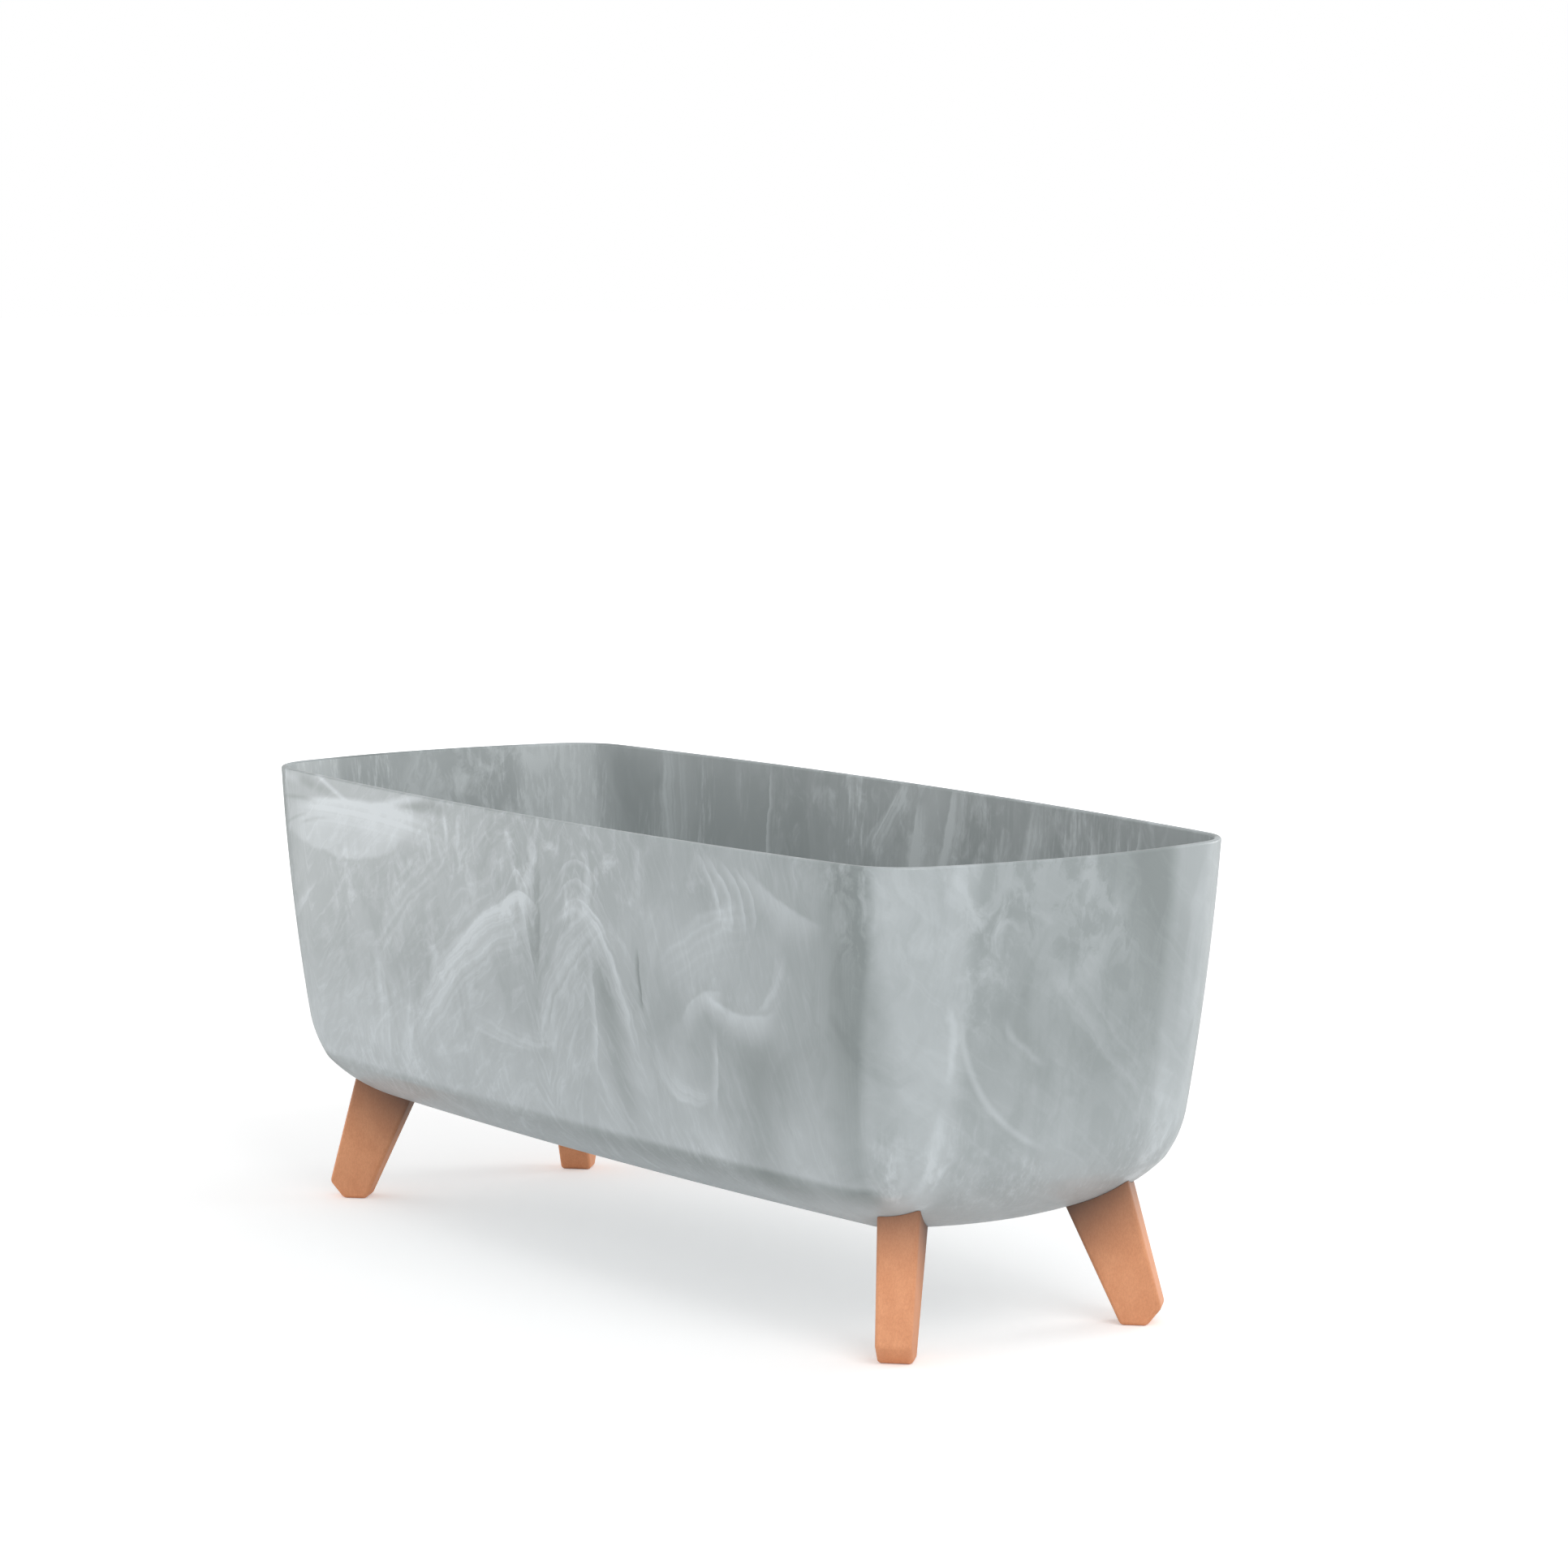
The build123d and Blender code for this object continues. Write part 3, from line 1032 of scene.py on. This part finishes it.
SIDE, END = Wall
PLAIN, SOFT = Touch.PLAIN, Touch.SOFT
OUTER_LICKS = (
    Lick(SIDE, -160, 232, 182, 98, 26, 0.2, 0.40, still=True),
    Lick(SIDE, -170, 232, 182, 92, 26, 0.25, 0.44, PLAIN, still=True),
    Lick(SIDE, -184, 201, 4, 86, 25, 0.8, 0.34, PLAIN),
    Lick(SIDE, -203, 237, -17, 28, 2.5, 0.3, 0.42, SOFT, still=True),
    Lick(SIDE, -124, 236.5, 11, 36, 4, -0.3, 0.50, SOFT, still=True),
    Lick(SIDE, -226, 236, -6, 28, 5, 0.3, -0.28, SOFT, still=True),
    Lick(SIDE, -94, 237, 3, 28, 5, -0.5, -0.26, SOFT, still=True),
    Lick(SIDE, -245, 227.5, 2, 26, 2.2, -0.6, -0.24, SOFT, still=True),
    Lick(SIDE, -225, 217.5, 10, 20, 1.8, -0.8, -0.26, SOFT, still=True),
    Lick(SIDE, -249, 216, 17, 18, 1.6, -0.8, -0.22, SOFT, still=True),
    Lick(SIDE, -72, 230, 100, 20, 3, 0.6, 0.20, SOFT),
    Lick(SIDE, -255, 238, 0, 20, 5, 0.0, 0.28, SOFT, still=True),
    Lick(SIDE, -66, 166, 213, 92, 34, 0.35, 0.56),
    Lick(SIDE, -52, 175, 214, 58, 12, 0.5, 0.34),
    Lick(SIDE, -6, 200, 192, 20, 9, 1.2, 0.40, PLAIN),
    Lick(SIDE, 3, 176, 95, 28, 6, 0.2, 0.24, PLAIN),
    Lick(SIDE, 28, 172, 230, 52, 40, 0.25, 0.46),
    Lick(SIDE, 52, 203, 176, 26, 11, 1.6, 0.50),
    Lick(SIDE, 80, 172, 120, 48, 14, 0.8, 0.44),
    Lick(SIDE, 50, 214, 180, 24, 4, 4.5, 0.22, PLAIN),
    Lick(SIDE, 50, 224, 180, 28, 4, 6.0, 0.20, PLAIN),
    Lick(SIDE, -4, 212, 180, 14, 4, 5.0, 0.24, PLAIN),
    Lick(SIDE, 140, 190, 170, 60, 40, 0.2, 0.20, SOFT),
    Lick(SIDE, 166, 222, 118, 22, 5, 1.5, 0.26, PLAIN),
    Lick(SIDE, 175, 221, 116, 22, 5, 1.5, 0.30, PLAIN),
    Lick(SIDE, 184, 220, 114, 22, 5, 1.5, 0.30, PLAIN),
    Lick(SIDE, 193, 219, 112, 20, 5, 1.5, 0.26, PLAIN),
    Lick(SIDE, 214, 219, 158, 34, 20, -0.2, 0.30, PLAIN),
    Lick(SIDE, 180, 160, 176, 30, 18, -0.5, 0.34, PLAIN),
    Lick(SIDE, 150, 166, 206, 22, 14, 0.6, 0.26, PLAIN),
    Lick(SIDE, 150, 202, 208, 46, 36, 0.2, 0.24),
    Lick(SIDE, 206, 178, 242, 22, 14, -0.4, 0.28),
    Lick(SIDE, 124, 111, -20, 30, 16, 1.0, 0.40),
    Lick(SIDE, 57, 145, 84, 36, 7, 0.3, 0.30, PLAIN),
    Lick(SIDE, 160, 128, 80, 24, 6, 0.3, 0.32, PLAIN),
    Lick(SIDE, -152, 118, 84, 38, 20, 0.3, 0.30),
    Lick(SIDE, -128, 110, 70, 30, 13, 0.4, 0.30),
    Lick(SIDE, -18, 121, 4, 46, 16, 0.4, 0.28),
    Lick(SIDE, -242, 168, 33, 28, 9, 0.4, 0.30),
    Lick(SIDE, -122, 190, 218, 60, 28, 0.3, 0.26),
    Lick(SIDE, 270, 150, 90, 130, 62, 0.0, -0.25, PLAIN),
    Lick(SIDE, 14, 188, 82, 36, 14, 0.2, -0.30, PLAIN),
    Lick(SIDE, 152, 126, 74, 40, 26, 0.3, -0.18, SOFT),
    Lick(SIDE, 102, 167, 92, 18, 4, 0.5, -0.50, PLAIN),
    Lick(SIDE, 72, 135, 96, 54, 17, 0.0, -0.28, SOFT),
    Lick(SIDE, 188, 112, 82, 52, 36, 0.0, -0.40, SOFT),
    Lick(END, -62, 157, 100, 22, 3.5, 0.9, 0.24, SOFT),
    Lick(END, -45, 127, -52, 50, 3.0, 5.4, 0.27, SOFT, still=True),
    Lick(END, -28, 152, -44, 20, 2.6, 0.9, 0.20, SOFT),
    Lick(END, 54, 212, 118, 60, 26, 0.0, -0.16, SOFT),
    Lick(END, 15, 150, -43, 60, 24, 0.2, 0.14),
    Lick(END, -66, 100, 82, 26, 4, 1.0, 0.18, SOFT),
    Lick(END, -80, 96, 100, 20, 4, 1.0, 0.16, SOFT),
)
INNER_LICKS = (
    Lick(SIDE, 18, 226, 133, 30, 18, 0.0, 0.70),
    Lick(SIDE, -4, 199, 96, 40, 14, 0.1, 1.10),
    Lick(SIDE, -32, 214, 100, 42, 18, 0.1, 1.00),
    Lick(SIDE, -16, 212, 100, 50, 30, 0.0, 0.30, SOFT),
    Lick(SIDE, -100, 208, 108, 40, 30, 0.0, 0.60),
    Lick(SIDE, 125, 212, 90, 36, 4, 0.1, 0.50, PLAIN),
    Lick(SIDE, 218, 205, 90, 50, 30, 0.0, 0.55),
    Lick(SIDE, -200, 215, 100, 28, 4, 0.0, 0.45, PLAIN),
)


@dataclass(frozen=True, kw_only=True)
class Finish:
    """A material of two colours, with a fine grain that its roughness and bumps follow."""

    name: str
    dark: Colour
    light: Colour
    roughness: float
    roughness_spread: float
    bump: float
    bump_depth: float
    grain_scale: float
    grain_upright: float = 1.0
    metallic: float = 0.0

    def colour(self, graph: Graph, patterns: Patterns, grain: bpy.types.NodeOutputs) -> Socket:
        """The two colours, mixed by the grain."""
        return graph.mix(grain["Speck"], self.dark, self.light)

    def build(self, patterns: Patterns) -> bpy.types.Material:
        """Builds the material.

        Args:
            patterns: the shared node groups.

        Returns:
            The material.
        """
        material = bpy.data.materials.new(self.name)
        graph, shader = start_material(material)
        place = graph.place(graph.object_place(), upright=self.grain_upright)
        grain = graph.group(patterns.speckle, Vector=place, Scale=self.grain_scale)
        rough = graph.layer(self.roughness, grain["Speck"], self.roughness_spread)
        bump = graph.add("Bump", {"Height": grain["Height"], "Strength": self.bump,
                                  "Distance": self.bump_depth})
        graph.feed(shader.inputs["Base Color"], self.colour(graph, patterns, grain))
        graph.feed(shader.inputs["Roughness"], rough)
        graph.feed(shader.inputs["Normal"], bump.outputs[0])
        shader.inputs["Metallic"].default_value = self.metallic
        return material


@dataclass(frozen=True, kw_only=True)
class MarbledPlastic(Finish):
    """Grey plastic with a paler colour stirred in, satin, with a faint moulded texture."""

    dark: Colour = to_linear(138, 146, 146)
    light: Colour = to_linear(204, 211, 214)
    roughness: float = 0.34
    roughness_spread: float = 0.08
    bump: float = 0.06
    bump_depth: float = 0.6 * MM
    grain_scale: float = 420.0
    tone: float = 0.42
    smoke_gain: float = 0.17
    mottle_gain: float = 0.5
    stroke_gain: float = 0.0
    streak_gain: float = 0.05
    drip_gain: float = 0.0
    # The corner and base gains are partly painted light; the crease gain is painted shadow.
    corner_tone_and_light_gain: float = 0.0
    end_gain: float = 0.0
    base_tone_and_bounce_gain: float = 0.0
    crease_shadow_gain: float = 0.0
    licks: tuple[Lick, ...] = ()

    def colour(self, graph: Graph, patterns: Patterns, grain: bpy.types.NodeOutputs) -> Socket:
        """The two colours, mixed by the marbling."""
        return graph.mix(Marbling(self, graph, patterns).tone(), self.dark, self.light)


class Marbling:
    """Works out how pale each point of a marbled plastic is, from its shade at 0 to its cloud at 1."""

    SMOKE_SCALE = 7.0
    DRIPS_FOOT = Step(0.062, 0.075)
    DRIPS_TOP = Step(0.09, 0.14, 1.0, 0.0)
    STREAKS_FOOT = Step(0.07, 0.13)

    FIRST_SLOPE = 0.65
    SLOPE_CHANGES = ((-5, -2.85), (8, 3.8), (50, -3.0), (105, -1.6))
    END_SLANT = (0, 0.64, 0.77)
    STROKE_ALONG = 0.3
    STROKE_UPRIGHT = 0.26
    BRUSH = Noise(110, 4, 0.68, 0.9)
    BRISTLES = Step(0.45, 0.76)
    BRISTLES_MEAN = 0.22
    STROKES_THIN = Step(0.085, 0.125, 1.0, 0.5)
    STROKES_LOST_ON_END = 0.1

    TEAR_ALONG = 0.857
    TEAR_UP = 0.515
    TEAR_JAGS = 0.05
    TEAR = Step(0.126, 0.133, 1.0, 0.0)
    TEAR_DEPTH = Step(0.031, 0.111, 0.2, 1.0)
    TEAR_HEIGHT = Step(0.165, 0.225, 0.35, 1.0)
    TEAR_FLAKES = Step(0.42, 0.54, 0.25, 1.0)
    TORN_GAIN = 0.5

    FLECKS = Noise(75, 4, 0.66, 0.6, shift=(1, 4, 2), upright=0.55)
    FLECKS_SHOW = Step(0.46, 0.74)
    FLECKS_MEAN = 0.2
    GATHER = Noise(11, shift=(6, 1, 8))
    GATHER_ON_END = 0.03
    GATHERED = Step(0.42, 0.64)
    GATHER_HEIGHT = Step(0.12, 0.22, 0.25, 1.0)
    RIM_FLECKS = Step(0.175, 0.215)
    RIM_MIDDLE = Step(0.06, 0.17, 1.0, 0.0)
    CORNER_LOSS = 0.7
    CORNER_FOOT = Step(0.09, 0.125, 0.9, 0.0)

    # Paler base: partly the plastic's own tone, partly painted bounce light from the floor.
    BASE_TONE_AND_BOUNCE = Step(0.08, 0.16, 1.0, 0.0)
    BASE_AND_BOUNCE_LOST_ON_END = 0.25
    # Painted shadow just under the crease of the long sides.
    UNDER_CREASE_SHADOW = Step(0.066, 0.0815, 0.25, 1.0)
    CREASE_SHADOW_EDGE = Step(0.0832, 0.0876, 1.0, 0.0)
    CREASE_SHADOW_ALONG = Step(-0.06, 0.12, 0.6, 1.0)

    def __init__(self, finish: MarbledPlastic, graph: Graph, patterns: Patterns) -> None:
        """Builds the coordinates and the smoke.

        Args:
            finish: the plastic, with its gains.
            graph: the material's graph.
            patterns: the shared node groups.
        """
        self.finish = finish
        self.graph = graph
        self.spot = WallPlace(graph, patterns)
        self.smoke = graph.group(patterns.smoke, Vector=self.spot.place, Scale=self.SMOKE_SCALE)

    def streaks(self) -> Socket:
        """The upright streaks of the smoke, and the drips that they end in along the base.

        Returns:
            How pale a point is, with the finish's drips scaled to its streaks.
        """
        graph, level = self.graph, self.spot.level
        drips = self.finish.drip_gain / self.finish.streak_gain
        foot = graph.ramp(level, self.DRIPS_FOOT._replace(after=drips))
        wet = graph.times(foot, graph.ramp(level, self.DRIPS_TOP))
        wet = graph.math("MAXIMUM", wet, graph.ramp(level, self.STREAKS_FOOT))
        return graph.times(self.smoke["Streak"], wet)

    def strokes(self) -> Socket:
        """The brushed strokes that run with the stirring: over two arches on a side, slanting on an end.

        Returns:
            How pale a point is, around 0.
        """
        graph, spot = self.graph, self.spot
        along, on_end = spot.along[Wall.SIDE], spot.here[Wall.END]
        rise = graph.times(along, self.FIRST_SLOPE)
        for start, turn in self.SLOPE_CHANGES:
            beyond = graph.math("MAXIMUM", graph.math("SUBTRACT", along, start * MM), 0.0)
            rise = graph.layer(rise, beyond, turn)
        arched = graph.math("SUBTRACT", spot.height, rise)
        slanted = graph.dot(spot.flow, self.END_SLANT)
        level = graph.add("Mix", {"Factor": on_end, "A": arched, "B": slanted}).outputs[0]
        drawn = graph.together(X=graph.times(along, self.STROKE_ALONG),
                               Y=graph.times(spot.height, self.STROKE_UPRIGHT), Z=level)
        brushed = graph.ramp(graph.noise(drawn, self.BRUSH)["Fac"], self.BRISTLES)
        share = graph.layer(graph.ramp(along, self.STROKES_THIN), on_end, -self.STROKES_LOST_ON_END)
        return graph.times(graph.math("SUBTRACT", brushed, self.BRISTLES_MEAN), share)

    def torn_cloud(self, flecks: Socket) -> Socket:
        """The pale cloud over an end, which stops short of its upper right in a torn edge.

        Args:
            flecks: the noise of the mottle.

        Returns:
            How much paler a point is.
        """
        graph, spot = self.graph, self.spot
        across = graph.layer(graph.times(spot.height, self.TEAR_UP), spot.along[Wall.END], self.TEAR_ALONG)
        across = graph.layer(across, graph.math("SUBTRACT", flecks, 0.5), self.TEAR_JAGS)
        depth = graph.times(graph.ramp(across, self.TEAR_DEPTH), graph.ramp(spot.height, self.TEAR_HEIGHT))
        return graph.times(graph.ramp(across, self.TEAR), depth, graph.ramp(flecks, self.TEAR_FLAKES),
                           spot.here[Wall.END])

    def mottle(self) -> Socket:
        """Small flecks and curls, which gather in some places and leave others plain.

        Returns:
            How pale a point is, around 0.
        """
        graph, spot = self.graph, self.spot
        flecks = graph.noise(spot.flow, self.FLECKS)["Fac"]
        gather = graph.noise(spot.flow, self.GATHER)["Fac"]
        gather = graph.layer(gather, spot.here[Wall.END], self.GATHER_ON_END)
        place = graph.times(graph.ramp(gather, self.GATHERED), graph.ramp(spot.height, self.GATHER_HEIGHT))
        from_middle = graph.math("ABSOLUTE", spot.along[Wall.SIDE])
        rim = graph.times(graph.ramp(spot.height, self.RIM_FLECKS), graph.ramp(from_middle, self.RIM_MIDDLE))
        place = graph.math("MAXIMUM", place, rim)
        place = graph.times(place, graph.layer(1.0, spot.corner, -self.CORNER_LOSS))
        foot = graph.times(spot.corner, graph.ramp(spot.height, self.CORNER_FOOT))
        place = graph.math("MAXIMUM", place, foot)
        paler = graph.math("SUBTRACT", graph.ramp(flecks, self.FLECKS_SHOW), self.FLECKS_MEAN)
        return graph.layer(graph.times(paler, place), self.torn_cloud(flecks), self.TORN_GAIN)

    def form_tone(self) -> Socket:
        """Paler corners and base, both partly painted light, darker ends, and a painted shadow under the
        crease.

        Returns:
            How much paler a point is.
        """
        graph, spot, finish = self.graph, self.spot, self.finish
        on_end = spot.here[Wall.END]
        # Paler corners: partly the plastic's own tone, partly painted light that the corners catch.
        tone = graph.times(spot.corner, finish.corner_tone_and_light_gain - finish.end_gain)
        tone = graph.layer(tone, on_end, finish.end_gain)
        # Paler towards the base: partly the plastic's own tone, partly painted light bounced up from the
        # floor.
        low = graph.ramp(spot.level, self.BASE_TONE_AND_BOUNCE._replace(before=finish.base_tone_and_bounce_gain))
        tone = graph.layer(tone, low, graph.layer(1.0, on_end, -self.BASE_AND_BOUNCE_LOST_ON_END))
        # Painted shadow: a dark band just under the long sides' crease.
        crease_shadow = graph.times(graph.ramp(spot.level, self.UNDER_CREASE_SHADOW), graph.ramp(spot.level, self.CREASE_SHADOW_EDGE),
                           graph.ramp(spot.along[Wall.SIDE], self.CREASE_SHADOW_ALONG), spot.here[Wall.SIDE])
        return graph.layer(tone, crease_shadow, finish.crease_shadow_gain)

    def with_licks(self, tone: Socket) -> Socket:
        """Adds the licks of colour to a tone.

        Args:
            tone: how pale the plastic is without them.

        Returns:
            How pale it is with them.
        """
        graph, spot = self.graph, self.spot
        for wall in Wall:
            stirred = graph.together(X=spot.along[wall], Z=spot.height)
            still = graph.together(X=spot.still[wall], Z=spot.level)
            drawn = 0.0
            for lick in self.finish.licks:
                if lick.wall is wall:
                    drawn = graph.layer(drawn, lick.draw(graph, still if lick.still else stirred), lick.gain)
            tone = graph.layer(tone, spot.here[wall], drawn)
        return tone

    def tone(self) -> Socket:
        """The whole marbling.

        Returns:
            How pale a point is.
        """
        graph, finish = self.graph, self.finish
        tone = graph.layer(finish.tone - finish.smoke_gain / 2, self.smoke["Smoke"], finish.smoke_gain)
        tone = graph.layer(tone, self.streaks(), finish.streak_gain)
        tone = graph.layer(tone, self.mottle(), finish.mottle_gain)
        if finish.stroke_gain:
            tone = graph.layer(tone, self.strokes(), finish.stroke_gain)
        return self.with_licks(graph.math("ADD", tone, self.form_tone()))


@dataclass(frozen=True, kw_only=True)
class WoodComposite(Finish):
    """Smooth orange-tan wood composite with a fine, short grain, and painted shade where the tub shadows it.
    """

    name: str = "leg_wood_composite"
    dark: Colour = to_linear(212, 140, 97)
    light: Colour = to_linear(236, 167, 123)
    # Painted shade: the dark colour that the leg tops turn to under the tub.
    painted_shade_colour: Colour = to_linear(70, 54, 47)
    roughness: float = 0.5
    roughness_spread: float = 0.12
    bump: float = 0.12
    bump_depth: float = 0.5 * MM
    grain_scale: float = 1300.0
    grain_upright: float = 0.5
    grain_gain: float = 0.5
    blotch: Noise = Noise(95, 3, 0.6, upright=0.6)
    blotch_shows: Step = Step(0.36, 0.66, 0.2, 0.5)
    # Painted shade: how far in and how high up a point lies under the tub.
    outward: tuple[float, float, float] = (math.sqrt(0.5), math.sqrt(0.5), math.tan(math.radians(15)))
    outer_face: float = 246.4 * MM
    shade_inward_gain: float = 0.7
    painted_shade_ramp: Step = Step(0.034, 0.094)

    def colour(self, graph: Graph, patterns: Patterns, grain: bpy.types.NodeOutputs) -> Socket:
        """The two colours, mixed by grain and blotches, with painted shade up the leg and towards the tub's
        middle.

        Args:
            graph: the material's graph.
            patterns: the shared node groups; not used.
            grain: the outputs of the shared speckle.

        Returns:
            The colour.
        """
        place = graph.object_place()
        blotch = graph.ramp(graph.noise(place, self.blotch)["Fac"], self.blotch_shows)
        colour = graph.mix(graph.layer(blotch, grain["Speck"], self.grain_gain), self.dark, self.light)
        # Painted shade, strongest high up and on the inner faces, where the tub shadows the leg.
        out = graph.dot(graph.vector("ABSOLUTE", place), self.outward)
        inward = graph.math("SUBTRACT", self.outer_face, out)
        shade_depth = graph.layer(graph.apart(place)["Z"], inward, self.shade_inward_gain)
        return graph.mix(graph.ramp(shade_depth, self.painted_shade_ramp), colour, self.painted_shade_colour)


# The corner and base gains are partly painted light, and the crease gain paints a shadow.
OUTSIDE = MarbledPlastic(
    name="marbled_plastic_outside", drip_gain=0.3, stroke_gain=0.24, corner_tone_and_light_gain=0.09, end_gain=-0.2,
    base_tone_and_bounce_gain=0.38, crease_shadow_gain=-0.50, licks=OUTER_LICKS)
INSIDE = MarbledPlastic(
    name="marbled_plastic_inside", dark=to_linear(139, 146, 146), light=to_linear(206, 212, 213), tone=0.45,
    smoke_gain=0.16, mottle_gain=0.42, streak_gain=0.6, corner_tone_and_light_gain=0.28, licks=INNER_LICKS)
WOOD = WoodComposite()
PLATED_STEEL = Finish(
    name="zinc_plated_steel", dark=to_linear(168, 172, 174), light=to_linear(206, 209, 212), roughness=0.28,
    roughness_spread=0.14, bump=0.08, bump_depth=0.3 * MM, grain_scale=700.0, metallic=1.0)
DUSTY_RUBBER = Finish(
    name="washer_rubber", dark=to_linear(27, 27, 28), light=to_linear(52, 52, 53), roughness=0.62,
    roughness_spread=0.15, bump=0.15, bump_depth=0.3 * MM, grain_scale=900.0)


class Lamp(NamedTuple):
    """A soft square lamp: its watts, its side, its bearing and rise in degrees, and its distance."""

    name: str
    power: float
    size: float
    azimuth: float
    elevation: float
    distance: float


LAMPS = (
    Lamp("key", 18, 1.4, 80, 42, 2.6),
    Lamp("corner_fill", 1.6, 0.6, 48, 4, 1.6),
    Lamp("left_fill", 1.6, 0.5, -62, 3, 1.0),
    Lamp("low_fill", 3.6, 1.4, -8, 2, 2.2),
    Lamp("rim", 6, 0.6, 166, 12, 1.4),
)


@dataclass(frozen=True)
class Studio:
    """Floor, lights, backdrop and camera."""

    image_size: int = 1932
    focal_pixels: float = 6002.5
    principal_y: float = 1304
    azimuth: float = 54.54
    elevation: float = 9.48
    distance: float = 2549.7 * MM
    aside: float = 32.5 * MM
    aim_height: float = 105.1 * MM
    sensor: float = 36.0
    far_clip: float = 200.0
    floor_size: float = 60.0
    floor_colour: Colour = (0.93, 0.93, 0.93, 1.0)
    floor_glow: Step = Step(0.3, 2.5, 0.3, 1.0)
    sky_level: float = 0.6

    def stand(self, name: str, data: bpy.types.ID, azimuth: float, elevation: float, distance: float,
              aside: float = 0.0) -> bpy.types.Object:
        """Stands a camera or a lamp so that it faces the planter.

        Args:
            name: the object's name.
            data: the camera or lamp.
            azimuth: in degrees, from the front towards the right.
            elevation: in degrees.
            distance: from the planter's middle.
            aside: how far it stands to its own right.

        Returns:
            The object.
        """
        turn, rise = math.radians(azimuth), math.radians(elevation)
        away = Vector((math.sin(turn) * math.cos(rise), -math.cos(turn) * math.cos(rise), math.sin(rise)))
        right = Vector((math.cos(turn), math.sin(turn), 0))
        item = bpy.data.objects.new(name, data)
        item.location = right * aside + Vector((0, 0, self.aim_height)) + away * distance
        item.rotation_euler = (-away).to_track_quat("-Z", "Y").to_euler()
        bpy.context.scene.collection.objects.link(item)
        return item

    def camera(self) -> None:
        """Sets the camera where the photograph was taken from."""
        data = bpy.data.cameras.new("photo_camera")
        data.sensor_fit = "HORIZONTAL"
        data.sensor_width = self.sensor
        data.lens = self.focal_pixels / self.image_size * self.sensor
        data.shift_y = (self.principal_y - self.image_size / 2) / self.image_size
        data.clip_end = self.far_clip
        bpy.context.scene.camera = self.stand("photo_camera", data, self.azimuth, self.elevation,
                                              self.distance, self.aside)

    def lamps(self) -> None:
        """Sets up the lamps."""
        for lamp in LAMPS:
            data = bpy.data.lights.new(lamp.name, "AREA")
            data.energy = lamp.power
            data.size = lamp.size
            self.stand(lamp.name, data, lamp.azimuth, lamp.elevation, lamp.distance)

    def world(self) -> None:
        """A soft pale sky for light, which camera and mirror rays see as plain white."""
        world = bpy.data.worlds.new("soft_sky")
        world.use_nodes = True
        bpy.context.scene.world = world
        graph = Graph(world.node_tree)
        shader = world.node_tree.nodes["Background"]
        shader.inputs["Color"].default_value = WHITE
        rays = graph.add("LightPath", {}).outputs
        seen = graph.math("MAXIMUM", rays["Is Camera Ray"], rays["Is Glossy Ray"])
        seen = graph.math("MAXIMUM", seen, rays["Is Transmission Ray"])
        level = graph.add("MapRange", {"Value": seen, "To Min": self.sky_level, "To Max": 1.0}).outputs[0]
        graph.feed(shader.inputs["Strength"], level)

    def floor(self) -> None:
        """A pale floor that shows as white where nothing shades it."""
        mesh = bmesh.new()
        bmesh.ops.create_grid(mesh, x_segments=1, y_segments=1, size=self.floor_size / 2)
        floor = finish_mesh("studio_floor", mesh)
        material = bpy.data.materials.new("pale_floor")
        graph, shader = start_material(material)
        shader.inputs["Base Color"].default_value = self.floor_colour
        shader.inputs["Roughness"].default_value = 1.0
        shader.inputs["Specular IOR Level"].default_value = 0.0
        shader.inputs["Emission Color"].default_value = WHITE
        away = graph.add("VectorMath", {0: graph.object_place()}, operation="LENGTH").outputs["Value"]
        seen = graph.add("LightPath", {}).outputs["Is Camera Ray"]
        graph.feed(shader.inputs["Emission Strength"], graph.times(graph.ramp(away, self.floor_glow), seen))
        floor.data.materials[0] = material

    def build(self) -> None:
        """Sets up the whole studio."""
        self.camera()
        self.world()
        self.floor()
        self.lamps()


def dress(piece: bpy.types.Object, slot: str, node: str, *materials: bpy.types.Material) -> None:
    """Gives a piece its materials and its place in the frame.

    Args:
        piece: the piece.
        slot: the record's material slot; not used.
        node: the frame's node that it stands for.
        materials: its materials, in the order of its slots.
    """
    for number, material in enumerate(materials):
        piece.data.materials[number] = material
    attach(piece, BODY)
    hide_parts(node)
    LOG.info("%s: %d faces", piece.name, len(piece.data.polygons))


def main() -> None:
    """Builds the planter and its studio."""
    logging.basicConfig(level=logging.INFO, format="%(message)s")
    bpy.context.scene.view_settings.view_transform = "Standard"
    form = TubForm()
    spot = FasteningSpot()
    patterns = Patterns()
    skins = [finish.build(patterns) for finish in (OUTSIDE, INSIDE)]
    dress(Tub(form, spot).build(), "tub_plastic", "planter_tub", *skins)
    wood = WOOD.build(patterns)
    for corner in Corner:
        dress(Leg(form).build(corner), "leg_wood", corner.leg_node, wood)
    fastening = Fastening(spot)
    screws = fastening.build("hexagon_screws", fastening.screw)
    dress(screws, "screw_steel", "leg_screws", PLATED_STEEL.build(patterns))
    washers = fastening.build("rubber_washers", fastening.washer)
    dress(washers, "washer_rubber", "sealing_washers", DUSTY_RUBBER.build(patterns))
    Studio().build()


if __name__ == "__main__":
    main()
